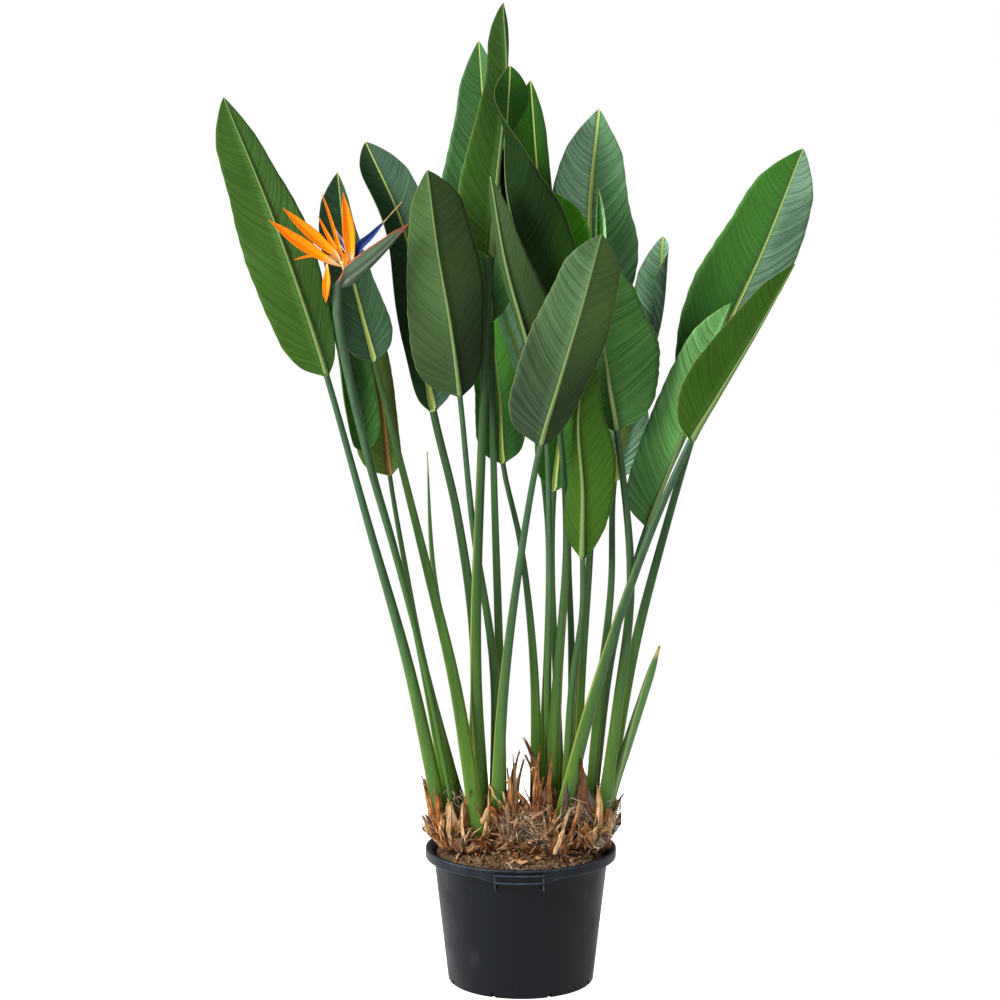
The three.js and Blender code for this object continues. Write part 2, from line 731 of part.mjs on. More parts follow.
function potSection() {
  const lean = (WALL_TOP_RADIUS - BASE_RADIUS) / (RIM_BOTTOM - BASE_ROUNDING);
  const inner = (z) => BASE_RADIUS - WALL_THICKNESS + lean * (z - BASE_ROUNDING);
  const wall = [
    [0, 0],
    [BASE_RADIUS - BASE_ROUNDING, 0],
    [BASE_RADIUS, BASE_ROUNDING],
    [WALL_TOP_RADIUS, RIM_BOTTOM],
    [RIM_RADIUS - RIM_ROUNDING, RIM_BOTTOM],
    [RIM_RADIUS, RIM_BOTTOM + RIM_ROUNDING],
    [RIM_RADIUS, RIM_TOP - RIM_ROUNDING],
    [RIM_RADIUS - RIM_ROUNDING, RIM_TOP],
    [RIM_RADIUS - RIM_LIP, RIM_TOP],
    [inner(RIM_BOTTOM) + WALL_THICKNESS, RIM_TOP - RIM_LIP],
    [inner(RIM_BOTTOM), RIM_BOTTOM],
    [inner(BASE_ROUNDING), BASE_ROUNDING],
    [0, BASE_ROUNDING],
  ];
  return { wall, inner };
}

// A ledge that stands out under the rim, square at both ends, with a three-cornered fin under each end.
function grip() {
  const reachTurn = Math.asin(GRIP_HALF_WIDTH / GRIP_REACH);
  const rootTurn = Math.asin(GRIP_HALF_WIDTH / GRIP_ROOT);
  const front = -Math.PI / 2;
  const plan = new THREE.Shape();
  plan.absarc(0, 0, GRIP_REACH, front - reachTurn, front + reachTurn, false);
  plan.absarc(0, 0, GRIP_ROOT, front + rootTurn, front - rootTurn, true);
  const ledge = new THREE.ExtrudeGeometry(plan, {
    depth: GRIP_TOP - GRIP_BOTTOM,
    bevelEnabled: false,
    curveSegments: GRIP_SEGMENTS,
  }).translate(0, 0, GRIP_BOTTOM);
  const wall = GRIP_ROOT * Math.cos(rootTurn);
  const side = new THREE.Shape();
  side.moveTo(wall - WALL_THICKNESS / 2, GRIP_FIN_FOOT);
  side.lineTo(wall + WALL_THICKNESS / 2, GRIP_FIN_FOOT);
  side.lineTo(GRIP_REACH * Math.cos(reachTurn) - GRIP_SINK, GRIP_BOTTOM + GRIP_SINK);
  side.lineTo(wall - WALL_THICKNESS / 2, GRIP_BOTTOM + GRIP_SINK);
  const fins = [-GRIP_HALF_WIDTH, GRIP_HALF_WIDTH - GRIP_FIN].map((x) =>
    new THREE.ExtrudeGeometry(side, { depth: GRIP_FIN, bevelEnabled: false })
      .rotateX(Math.PI / 2)
      .rotateZ(front)
      .translate(x + GRIP_FIN, 0, 0));
  return joined([ledge, ...fins]);
}

function pot() {
  const { wall } = potSection();
  const body = solidOf(turned(wall, POT_SIDES));
  const grips = [GRIP_TURN, GRIP_TURN + 180].map((angle) => grip().rotate([0, 0, angle]));
  const notches = [];
  for (let i = 0; i < NOTCHES; i++) {
    const notch = new THREE.BoxGeometry(2 * NOTCH_HEIGHT, NOTCH_WIDTH, NOTCH_HEIGHT)
      .translate(BASE_RADIUS, 0, NOTCH_HEIGHT / 2)
      .rotateZ((2 * Math.PI * (i + 0.5)) / NOTCHES);
    notches.push(solidOf(notch));
  }
  return wasm.Manifold.union([body, ...grips]).subtract(wasm.Manifold.union(notches));
}

// Soil: fills the pot and rises a little to its middle, with a rough top.
function soilBlock() {
  const { inner } = potSection();
  const mound = (radius) => SOIL_EDGE + SOIL_RISE * (1 - (radius / SOIL_SPREAD) ** 2);
  const outline = [
    [0, BASE_ROUNDING + CLEARANCE],
    [inner(BASE_ROUNDING) - SOIL_GAP, BASE_ROUNDING + CLEARANCE],
    [inner(SOIL_EDGE) - SOIL_GAP, SOIL_EDGE],
    ...SOIL_RINGS.toReversed().map((radius) => [radius, mound(radius)]),
    [0, SOIL_EDGE + SOIL_RISE],
  ];
  const geometry = turned(outline, SOIL_SIDES);
  const points = geometry.attributes.position;
  for (let i = 0; i < points.count; i++) {
    const radius = Math.hypot(points.getX(i), points.getY(i));
    const z = points.getZ(i);
    if (z <= SOIL_EDGE || radius < 1) continue;
    const bearing = Math.round(Math.atan2(points.getY(i), points.getX(i)) * 100);
    points.setZ(i, z + SOIL_BUMP * (chance(bearing * 7 + Math.round(radius)) - 0.5));
  }
  return solidOf(geometry);
}

// Crowns

// Each husk: its place, the bearing it looks in, its width and height, and how far its tip leans out.
const crowns = [
  {
    name: "crown_left",
    centre: [-72, 6],
    half: [75, 58],
    lean: CROWN_LEAN,
    husks: [
      [-138, -14, 292, 30, 124, 0.2],
      [-126, -32, 312, 32, 72, 0.55],
      [-114, -40, 335, 30, 98, 0.08],
      [-94, -50, 0, 26, 110, 0.02],
      [-42, -50, 25, 30, 92, -0.05],
      [-24, -34, 40, 26, 92, 0.05],
      [-16, -12, 60, 28, 170, 0.05],
      [-8, 14, 80, 30, 146, 0.06],
      [-4, -10, 20, 24, 88, 0.02],
      [-34, 56, 165, 30, 110, 0.2],
      [-82, 63, 180, 34, 100, 0.25],
      [-126, 40, 225, 32, 112, 0.25],
    ],
  },
  {
    name: "crown_right",
    centre: [92, 8],
    half: [80, 56],
    lean: -CROWN_LEAN,
    husks: [
      [30, -22, 300, 26, 192, 0.04],
      [24, -4, 285, 26, 160, 0.06],
      [42, -38, 330, 26, 118, 0.02],
      [58, -50, 0, 40, 74, 0.03],
      [78, -46, 40, 28, 124, 0.02],
      [103, -40, 350, 20, 166, 0.03],
      [122, -40, 345, 34, 116, 0.02],
      [138, -34, 20, 32, 72, 0.1],
      [148, -16, 65, 30, 98, 0.2],
      [150, 28, 110, 30, 100, 0.15],
      [112, 62, 165, 34, 108, 0.2],
      [46, 54, 205, 32, 100, 0.12],
    ],
  },
];

// Keeps a point inside the pot's mouth: clear of the wall below the rim, further out above it.
function withinPot(point, grow) {
  const above = Math.max(point.z - RIM_TOP - RIM_CLEARANCE, 0);
  const limit = Math.min(MOUTH_REACH + above, RIM_RADIUS) + grow;
  const radius = Math.hypot(point.x, point.y);
  if (radius <= limit) return point;
  return new THREE.Vector3((point.x * limit) / radius, (point.y * limit) / radius, point.z);
}

// The lumpy rootstock. Growing it gives the hollow in the soil that it sits in.
function rootstock(crown, grow) {
  const rings = CROWN_LEVELS.map(([height, share], level) => {
    const rise = Math.max(height - CROWN_WIDEST, 0) / (CROWN_TOP - CROWN_WIDEST);
    const z = level === 0 ? height - grow : height;
    const ring = [];
    for (let i = 0; i < CROWN_SIDES; i++) {
      const angle = (2 * Math.PI * i) / CROWN_SIDES;
      const broad = CROWN_LUMP * Math.sin(3 * angle + crown.centre[0]);
      const lump = 1 + broad + CROWN_FINE_LUMP * Math.sin(7 * angle + 2 * level);
      const x = crown.centre[0] + crown.lean * rise + (crown.half[0] * share * lump + grow) * Math.cos(angle);
      const y = crown.centre[1] + (crown.half[1] * share * lump + grow) * Math.sin(angle);
      const top = rise * CROWN_TOP_SWELL * Math.sin(2 * angle + crown.centre[0]);
      const inside = withinPot(new THREE.Vector3(x, y, z), grow);
      ring.push(new THREE.Vector3(inside.x, inside.y, z + top));
    }
    return ring;
  });
  return loft(rings);
}

// A dry leaf-base: a bowed, pointed plate that stands on the rootstock and leans outwards.
function husk([x, y, bearing, width, height, lean]) {
  const out = facing(bearing);
  const across = new THREE.Vector3(0, 0, 1).cross(out);
  const rings = HUSK_STEPS.map((share, i) => {
    const half = (width / 2) * HUSK_WIDTHS[i];
    const middle = new THREE.Vector3(x, y, HUSK_FOOT + height * share);
    middle.addScaledVector(out, lean * height * share * share);
    const edge = (sign, depth) => {
      const bow = half * HUSK_BOW * sign * sign;
      return middle.clone().addScaledVector(across, sign * half).addScaledVector(out, depth - bow);
    };
    const thick = HUSK_THICKNESS / 2;
    const outer = [-1, 0, 1].map((sign) => edge(sign, thick));
    return [...outer, ...[1, 0, -1].map((sign) => edge(sign, -thick))];
  });
  return loft(rings);
}

// Roots that run from the rootstock's flank down into the soil, spread round it by a rule.
function roots(crown) {
  const made = [];
  for (let i = 0; i < ROOTS; i++) {
    const angle = (2 * Math.PI * (i + ROOT_SCATTER * chance(i + crown.centre[0]))) / ROOTS;
    const inward = Math.cos(angle) * -Math.sign(crown.centre[0]);
    if (inward > BETWEEN_CROWNS) continue;
    const way = new THREE.Vector3(Math.cos(angle) * crown.half[0], Math.sin(angle) * crown.half[1], 0);
    const turn = ROOT_SWERVE * (chance(3 * i + 1) - 0.5);
    const points = ROOT_SPREAD.map((share, k) => {
      const spot = way.clone().multiplyScalar(share).applyAxisAngle(new THREE.Vector3(0, 0, 1), turn * k);
      const z = ROOT_HEIGHTS[k] + (k === 0 ? ROOT_START_SCATTER * chance(i + 20) : 0);
      return withinPot(new THREE.Vector3(crown.centre[0] + spot.x, crown.centre[1] + spot.y, z), 0);
    });
    const midline = new Midline(points.map((p) => p.toArray()), 0);
    const rings = ROOT_STEPS.map((share) => {
      const frame = midline.frame(share, way);
      return ROOT_CORNERS.map((corner) => {
        const angle = radians(corner);
        return place(frame, ROOT_HALF_WIDTH * Math.cos(angle), ROOT_HALF_WIDTH * Math.sin(angle));
      });
    });
    made.push(loft(rings));
  }
  return made;
}

// The hole that a stalk stands in: its own sections, a little larger, from just under its foot.
function hole(rings) {
  const drop = rings[1][0].clone().sub(rings[0][0]).setLength(-CLEARANCE);
  return solidOf(loft([rings[0].map((p) => p.clone().add(drop)), ...rings]));
}

function holes() {
  const stalks = [...leaves, flowerStem].map((spec) =>
    stalkRings(spec, leafMidline(spec), HOLE_STEPS, CLEARANCE));
  const rolled = spears.map((spec) => spearRings(spec, SPEAR_STEPS.slice(0, 3), CLEARANCE));
  return wasm.Manifold.union([...stalks, ...rolled].map(hole));
}

const group = new THREE.Group();

function addMesh(name, geometry, finish) {
  const mesh = new THREE.Mesh(geometry, finish);
  mesh.name = name;
  group.add(mesh);
}

addMesh("pot", geometryOf(pot()), finishes.pot);

const block = soilBlock();
const hollows = wasm.Manifold.union(crowns.map((crown) => solidOf(rootstock(crown, CLEARANCE))));
addMesh("soil", geometryOf(mainBody(block.subtract(hollows))), finishes.soil);

const stalkHoles = holes();
const ground = block.translate([0, 0, CLEARANCE]);
for (const crown of crowns) {
  const loose = joined([...crown.husks.map(husk), ...roots(crown)]).subtract(ground);
  const body = solidOf(rootstock(crown, 0)).add(loose).subtract(stalkHoles);
  addMesh(crown.name, geometryOf(mainBody(body)), finishes.husk);
}

for (const spec of leaves) addMesh(spec.name, leaf(spec), finishes[spec.finish]);
for (const spec of spears) addMesh(spec.name, loft(spearRings(spec, SPEAR_STEPS, 0)), finishes.young);
addMesh("flower_stem", leaf(flowerStem), finishes.spathe);
addMesh("flower_sepals", geometryOf(joined(sepals)), finishes.orange);
addMesh("flower_petal_right", geometryOf(joined(rightPetal)), finishes.blue);
addMesh("flower_petal_left", geometryOf(joined(leftPetal)), finishes.blue);

export default group;
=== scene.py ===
"""A potted bird of paradise. Fine leaves, a flower, dry crowns, soil and a pot stand round the frame.

Metres, +Z up. The origin is the centre of the pot's underside, and -Y is the plant's front. The tables of
leaves, flower, spears, straws and crowns give their sizes in millimetres.
"""
import math

import bpy
import numpy as np
from bpy.props import FloatProperty, FloatVectorProperty, IntProperty, PointerProperty
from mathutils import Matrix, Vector


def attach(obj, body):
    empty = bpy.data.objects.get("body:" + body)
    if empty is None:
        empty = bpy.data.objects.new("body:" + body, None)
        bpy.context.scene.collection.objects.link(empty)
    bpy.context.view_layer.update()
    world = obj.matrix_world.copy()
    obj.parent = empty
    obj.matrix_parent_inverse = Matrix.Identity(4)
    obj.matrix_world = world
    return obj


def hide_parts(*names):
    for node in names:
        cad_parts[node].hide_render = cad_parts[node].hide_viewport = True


bl_info = {
    "name": "Potted bird of paradise",
    "version": (1, 0, 0),
    "blender": (4, 5, 0),
    "location": "3D View > Sidebar > Plant",
    "description": "Builds a potted bird of paradise with its leaves, flower, crowns, soil and pot",
    "category": "Add Mesh",
}

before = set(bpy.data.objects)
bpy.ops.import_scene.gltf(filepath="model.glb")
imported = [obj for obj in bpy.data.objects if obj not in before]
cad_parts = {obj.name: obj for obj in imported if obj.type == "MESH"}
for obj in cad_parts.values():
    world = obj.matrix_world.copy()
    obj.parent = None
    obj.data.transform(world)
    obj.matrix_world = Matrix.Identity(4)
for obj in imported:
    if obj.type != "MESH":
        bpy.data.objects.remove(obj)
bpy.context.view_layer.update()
ROOT = "root"

# Leaves

BLADE_ROWS = 210
FOOT_ROWS = 12
FOOT_SHARE = 0.035
STALK_ROWS = 22
HALF_COLUMNS = 7
RIB_STEPS = [0.0, 0.4, 0.75, 1.0]
TIP_ROUNDING = 0.17
TIP_POWER = 0.85
TIP_BEND = 1.8
EDGE_UNEVEN = 0.006
TIP_HALF_WIDTH = 0.0005
RIB_DEPTH = 0.75
RIB_TIP_DEPTH = 0.0009
RIB_TIP_WIDTH = 0.0011
STALK_TAPER = 1.6
STALK_FOOT_FLATNESS = 0.6
STALK_TOP_FLATNESS = 0.9
STALK_CHANNEL = 0.3
VEIN_ONSET = 0.12
VEIN_BEND = 1.35
MARGIN_SHARE = 0.9
RIDGE_FULL = 0.0004
RIB_FULL = 0.01

# The most that a leaf's lightness, which is painted light and shade, and its bloom with painted sheen may be
# on its face that looks away from the plant's front.
BACK_FACE_PAINT_LIMITS = {"shade": 2.4, "bloom": 1.0}

# What a leaf has where its row says nothing else.
LEAF_USUAL = dict(curl=(8, 8), wave=(3, 1.5, 0), cool=0.5, bloom=(0, 0), blend=0.014, foot_rounding=0.16,
                  slant=0.29)

# Each leaf: points up the stalk, then up the midrib; the bearing of its upper face from foot to tip; the
# widths of its left and right halves, and their fold and curl in degrees; edge wave (height, waves, start);
# stalk's foot and top width; its set of colours; how light its left half, its right half and its foot are,
# which is painted light and shade; the bloom with painted sheen of both halves; how bluish its stalk is;
# and its ridges (depth, spacing).
LEAVES = [
    dict(name="leaf_far_left", stalk=[(-126, -14, 245), (-185, -30, 535), (-250, -50, 780)],
         blade=[(-315, -70, 1025), (-350, -80, 1140), (-400, -85, 1285), (-475, -75, 1470)], face=193,
         half=[[30, 43, 50, 34, 18], [50, 62, 66, 50, 36]], fold=(12, 12), stem=(29, 10), tone="fresh",
         shade=(0.92, 0.62, 1.1), bloom=(0.3, 0.08), cool=1, ridge=(0.2, 9)),
    dict(name="leaf_low_left", stalk=[(-112, 20, 245), (-180, 30, 610), (-220, 35, 760)],
         blade=[(-260, 40, 890), (-275, 45, 975), (-290, 50, 1065), (-315, 60, 1160)], face=0,
         half=[[36, 44, 44, 34, 20], [32, 38, 38, 28, 20]], fold=(30, 12), curl=(80, 10),
         wave=(2, 1.5, 0.3), stem=(20, 9), tone="deep", shade=(1, 1, 1), bloom=(0.18, 0.18), cool=0.3,
         ridge=(0.34, 7)),
    dict(name="leaf_low_left_back", stalk=[(-90, 38, 245), (-165, 58, 535), (-195, 68, 695)],
         blade=[(-220, 76, 845), (-230, 84, 940), (-240, 92, 1020), (-255, 105, 1145)], face=10,
         half=[[50, 56, 56, 45, 30], [26, 28, 26, 20, 14]], fold=(15, 30), curl=(10, 10),
         wave=(3, 1.5, 0.5), stem=(20, 8), tone="aged", shade=(0.9, 0.9, 1), bloom=(0.1, 0.1), cool=0.2,
         ridge=(0.2, 8)),
    dict(name="leaf_left_behind_flower", stalk=[(-68, -50, 245), (-110, -40, 515), (-160, -30, 725)],
         blade=[(-240, -20, 1045), (-260, -15, 1120), (-285, -10, 1225), (-300, 10, 1350)], face=0,
         half=[[44, 46, 46, 40, 26], [44, 50, 35, 21, 12]], fold=(25, 25), wave=(4, 2, 0.25),
         stem=(30, 10), tone="waxy", shade=(0.5, 0.5, 0.9), bloom=(0.15, 0.15), cool=0.1, ridge=(0.34, 8)),
    dict(name="leaf_left_curled", stalk=[(-87, -8, 245), (-76, -1, 550), (-105, 5, 785)],
         blade=[(-145, 8, 960), (-165, 12, 1080), (-190, 18, 1250), (-255, 34, 1400)], face=0,
         half=[[34, 50, 58, 58, 44], [46, 64, 68, 52, 42]], fold=(18, 20), curl=(78, 8),
         wave=(4, 1.5, 0.1), stem=(24, 13), tone="waxy", shade=(0.5, 0.42, 0.9), bloom=(0.1, 0.3),
         ridge=(0.26, 7.5)),
    dict(name="leaf_left_front", stalk=[(-44, 12, 245), (-45, 15, 525), (-80, -12, 775)],
         blade=[(-100, -55, 990), (-115, -75, 1110), (-135, -90, 1230), (-150, -105, 1355)], face=180,
         half=[[38, 54, 68, 60, 46], [68, 72, 64, 44, 26]], fold=(15, 15), stem=(22, 9), tone="olive",
         shade=(0.5, 0.95, 0.5), bloom=(0, 0.06), cool=0.6, ridge=(0.1, 6.5)),
    dict(name="leaf_tallest", stalk=[(-59, -12, 245), (-75, -22, 535), (-65, -27, 900)],
         blade=[(-50, -30, 1215), (-39, -32, 1355), (-25, -35, 1500), (-30, -30, 1620)],
         face=[225, 225, 200], half=[[40, 44, 34, 20, 20], [50, 60, 46, 32, 26]], fold=(45, [45, 25]),
         curl=(5, 5), wave=(3, 1.5, 0.2), stem=(24, 13), tone="fresh", shade=(0.5, 0.5, 1.35),
         bloom=(0.06, 0.06), ridge=(0.12, 8)),
    dict(name="leaf_top_back_left", stalk=[(-32, 44, 245), (-35, 38, 500), (-45, 34, 840)],
         blade=[(-50, 42, 1105), (-55, 52, 1240), (-60, 66, 1405), (-70, 85, 1565)], face=350,
         half=[[66, 84, 74, 46, 26], [45, 58, 56, 40, 24]], fold=(15, 25), wave=(3, 2, 0.6), stem=(20, 10),
         tone="glossy", shade=(0.9, 0.9, 1), bloom=(0.2, 0.2), ridge=(0.36, 9.5)),
    dict(name="leaf_front", stalk=[(-42, -34, 245), (-30, -55, 495), (0, -80, 740)],
         blade=[(30, -100, 915), (60, -115, 1020), (95, -130, 1140), (125, -145, 1255)], face=190,
         half=[[32, 48, 60, 58, 48], [64, 70, 68, 52, 38]], fold=(15, 12), stem=(26, 10), tone="olive",
         shade=(1, 0.68, 0.4), bloom=(0, 0.3), cool=0.7, ridge=(0.1, 6)),
    dict(name="leaf_low_centre", stalk=[(26, 14, 245), (22, 26, 525), (0, 52, 730)],
         blade=[(-30, 80, 865), (-35, 95, 965), (-45, 108, 1055), (-55, 120, 1185)], face=0,
         half=[[42, 46, 44, 36, 26], [42, 46, 44, 36, 26]], fold=(20, 20), curl=(10, 10), wave=(3, 2, 0.4),
         stem=(24, 9), tone="deep", shade=(4.6, 4.6, 0.2), bloom=(0.3, 0.3), cool=0.4, ridge=(0.25, 9)),
    dict(name="leaf_back_centre", stalk=[(30, 46, 245), (45, 52, 570), (45, 62, 755)],
         blade=[(30, 66, 890), (10, 74, 1000), (-25, 82, 1105), (-65, 90, 1210)], face=20,
         half=[[24, 32, 34, 26, 16], [30, 40, 42, 32, 20]], fold=(45, 20), curl=(10, 10), wave=(2, 1.5, 0),
         stem=(18, 8), tone="frosted", shade=(0.35, 0.35, 1), bloom=(6.5, 6.5), ridge=(0.2, 7)),
    dict(name="leaf_hooked", stalk=[(51, 30, 245), (45, 22, 475), (47, -5, 715)],
         blade=[(35, -45, 985), (10, -62, 1080), (-25, -78, 1205), (-50, -84, 1345)], face=150,
         half=[[50, 60, 47, 27, 14], [28, 26, 22, 22, 26]], fold=(30, 30), wave=(2, 1.5, 0.5),
         stem=(16, 9), tone="olive", shade=(0.72, 0.72, 0.9), bloom=(0.02, 0.02), cool=0.8, ridge=(0.16, 7)),
    dict(name="leaf_top_folded", stalk=[(50, 8, 245), (60, 4, 495), (75, 0, 750)],
         blade=[(60, -2, 955), (28, -20, 1130), (-23, -34, 1325), (-19, -40, 1521)],
         face=[100, 105, 105, 62, 0], half=[[40, 70, 86, 70, 44], [26, 30, 38, 40, 56]],
         fold=([60, 62, 65, 30, 10], [0, 0, 0, -40, 0]), curl=([20, 20, 20, 80, 90], 5), wave=(2, 1.5, 0),
         stem=(26, 11), tone="hooded", shade=(1, 1, 3.4), bloom=(0.03, 0), ridge=(0.16, 10)),
    dict(name="leaf_behind_folded", stalk=[(70, 32, 245), (60, 30, 490), (52, 30, 695)],
         blade=[(55, 32, 825), (70, 32, 980), (70, 32, 1145), (45, 34, 1320)], face=0,
         half=[[40, 44, 40, 34, 40], [52, 62, 66, 62, 78]], fold=(12, 20), curl=(8, 30), wave=(3, 2, 0),
         stem=(18, 9), tone="deep", shade=(5.4, 5.4, 0.2), cool=0.4, ridge=(0.2, 11)),
    dict(name="leaf_top_back_right", stalk=[(86, 52, 245), (85, 56, 570), (80, 56, 705)],
         blade=[(80, 58, 940), (60, 58, 1125), (30, 58, 1320), (15, 56, 1500)], face=0,
         half=[[50, 64, 68, 56, 40], [34, 34, 28, 24, 20]], fold=(8, 25), stem=(16, 9), tone="deep",
         shade=(0.9, 0.9, 1), ridge=(0.16, 10)),
    dict(name="leaf_top_right", stalk=[(93, 31, 245), (100, 38, 480), (115, 54, 705)],
         blade=[(130, 80, 980), (120, 96, 1140), (115, 110, 1280), (130, 126, 1455)], face=0,
         half=[[50, 66, 74, 65, 36], [42, 58, 84, 62, 30]], fold=(15, 20), wave=(6, 2.5, 0.2),
         stem=(22, 10), tone="frosted", shade=(0.5, 1.9, 1), bloom=(2.1, 0.9), ridge=(0.16, 8.5)),
    dict(name="leaf_young_rolled", stalk=[(92, 6, 245), (100, 13, 480), (113, 18, 705)],
         blade=[(132, 12, 975), (129, 8, 1095), (125, 8, 1210), (125, 10, 1325)], face=10,
         half=[[28, 34, 34, 28, 20], [28, 34, 34, 28, 20]], fold=(66, 66), curl=(14, 14), wave=(0, 1, 0),
         stem=(16, 9), tone="olive", shade=(3, 3, 1), bloom=(2.4, 2.4), ridge=(0.06, 7)),
    dict(name="leaf_right_narrow", stalk=[(112, -6, 245), (130, 0, 475), (150, 18, 665)],
         blade=[(155, 38, 840), (180, 54, 950), (225, 64, 1110), (235, 70, 1245)], face=350,
         half=[[50, 62, 60, 46, 32], [36, 42, 44, 42, 34]], fold=(15, 5), curl=(8, [8, 50, 200, 215, 215]),
         stem=(22, 10), tone="frosted", shade=(0.3, 0.3, 1), bloom=(5.4, 5.4), ridge=(0.08, 7)),
    dict(name="leaf_right_front", stalk=[(131, -24, 245), (160, -28, 470), (180, -36, 685)],
         blade=[(155, -55, 935), (140, -65, 1025), (130, -72, 1105), (135, -72, 1210)], face=175,
         half=[[60, 84, 90, 66, 38], [50, 60, 60, 45, 30]], fold=(15, 15), wave=(4, 1.5, 0), stem=(26, 11),
         tone="glossy", shade=(1.3, 1.3, 0.8), bloom=(0.2, 0.2), ridge=(0.42, 13.5)),
    dict(name="leaf_low_front", stalk=[(74, -9, 245), (85, -25, 510), (100, -40, 630)],
         blade=[(100, -60, 725), (100, -74, 840), (92, -80, 955), (105, -82, 1075)], face=150,
         half=[[22, 46, 56, 34, 18], [76, 58, 26, 14, 10]], fold=(30, 30), wave=(2, 1.5, 0), stem=(22, 9),
         tone="fresh", shade=(0.75, 0.75, 1), bloom=(0.02, 0.02), cool=0.2, ridge=(0.14, 9)),
    dict(name="leaf_right_ribbed", stalk=[(116, 38, 245), (152, 24, 545), (184, 2, 690)],
         blade=[(207, -6, 770), (248, -14, 880), (294, -19, 1015), (341, -25, 1140)], face=215,
         half=[[12, 20, 28, 26, 16], [50, 60, 58, 48, 30]], fold=(30, 30), stem=(20, 9), tone="glossy",
         shade=(2.4, 2.4, 0.42), bloom=(0.85, 0.85), cool=0.6, ridge=(0.42, 8.5)),
    dict(name="leaf_right_folded", stalk=[(58, -35, 245), (115, -42, 475), (195, -56, 725)],
         blade=[(275, -70, 920), (315, -75, 990), (375, -70, 1090), (440, -60, 1205)], face=225,
         half=[[34, 44, 42, 30, 18], [42, 60, 54, 37, 17]], fold=(82, 45), wave=(4, 1.5, 0), stem=(28, 12),
         tone="fresh", shade=(0.6, 0.6, 1), cool=0.7, ridge=(0.1, 9)),
    dict(name="leaf_far_right", stalk=[(136, 26, 245), (190, 24, 560), (240, 26, 760)],
         blade=[(290, 35, 935), (335, 45, 1080), (400, 55, 1225), (465, 70, 1389)], face=350,
         half=[[44, 78, 92, 70, 42], [20, 40, 66, 60, 44]], fold=(25, 25), wave=(4, 2, 0), stem=(26, 12),
         tone="glossy", shade=(1.8, 0.26, 0.6), bloom=(0, 0.74), ridge=(0.24, 8)),
]

# Flower: its stem has a leaf's measures, with one fixed direction for the upper face.
FLOWER_STEM = dict(
    name="flower_stem",
    stalk=[(-104, -27, 245), (-155, -38, 520), (-205, -60, 730), (-250, -85, 900), (-293, -118, 1118)],
    blade=[(-294, -120, 1172), (-270, -120, 1186), (-222, -119, 1227), (-181, -118, 1270)],
    up=(-0.8, 0, 0.6), half=[[19, 23, 21, 14, 5], [19, 23, 21, 14, 5]], fold=(56, 56), curl=(34, 34),
    wave=(0, 1, 0), stem=(15, 17.5), shade=(1, 1, 1), cool=0.6, ridge=(0, 10), blend=0.17,
    foot_rounding=0.03, slant=0)

# Each sepal or petal: points from root to tip, the way its inner face looks, half widths, fold in degrees.
SEPALS = [
    ([(-286.5, -122, 1203), (-309, -125, 1213.5), (-334.2, -128, 1228.6), (-362.1, -131, 1247.8),
      (-400.2, -134, 1277.5)], (0.2, -0.9, 0.3), [3, 8, 11.5, 8, 2.2], 28),
    ([(-285.5, -118, 1204), (-298.6, -115, 1223.4), (-313.8, -112, 1235), (-334.2, -109, 1253),
      (-357, -106, 1273.4), (-379.9, -104, 1295.2)], (0.3, -0.9, 0.2), [3, 8, 11, 7.5, 2], 28),
    ([(-271.6, -121, 1200), (-273.5, -124, 1240), (-277, -126, 1280), (-283, -126, 1320.5)],
     (0.1, -1, 0), [4, 9, 11.2, 7.2, 2], 30),
    ([(-283, -117, 1203), (-293, -110, 1240), (-306, -104, 1283), (-318, -100, 1318)],
     (0.3, -1, 0), [3, 3.6, 3, 2.2, 1.4], 20),
    ([(-284, -117, 1203), (-300, -111, 1236), (-314, -106, 1262), (-324, -104, 1283)],
     (0.3, -1, 0), [3, 4.6, 4, 2.6, 1.4], 20),
    ([(-309.5, -127, 1213), (-309, -130, 1190), (-310.5, -132, 1168), (-311.3, -132, 1146.6)],
     (-0.1, -1, 0), [1.5, 3.6, 6.8, 5.5, 2], 20),
    ([(-289, -117, 1212), (-318, -118, 1221), (-339, -119, 1219.6), (-362.1, -120, 1214)],
     (0, -1, 0.3), [3, 3, 3, 2, 1.2], 20),
    ([(-281, -121, 1200), (-280, -122, 1214), (-278, -122, 1232)], (0, -1, 0), [2, 3, 3, 2.4, 1], 20),
    ([(-277, -120, 1200), (-281, -121, 1216), (-289, -120, 1229)], (0, -1, 0), [2, 3, 3, 2.4, 1], 20),
]
SEPAL_PEG = ((-279.6, -120, 1190), (-286, -120, 1212), 2, 4)
RIGHT_PETAL = ([(-261.5, -120, 1212), (-257.5, -121, 1233), (-237.7, -122, 1252.5), (-219.8, -122, 1272.8),
      (-189.4, -121, 1306.2)], (-0.4, -0.9, 0), [4, 8.8, 7.2, 4.6, 0.9, 0.8, 0.7], 35)
RIGHT_PEG = ((-258.4, -120, 1208.7), (-260.5, -120, 1222), 2, 3.6)
LEFT_PETAL = ([(-277.5, -116, 1223), (-286, -106, 1238), (-295, -102, 1254), (-303, -100, 1270)],
     (0.4, -1, 0), [3, 5, 5, 3, 1.6], 35)
LEFT_PEG = ((-270.7, -120.2, 1199.2), (-277, -117, 1226), 2, 2.8)
PETAL_ROWS = 40
PETAL_COLUMNS = 13
PETAL_THICKNESS = 0.0009
PETAL_RIDGE = 0.0002
SPATHE_THICKNESS = 0.0012

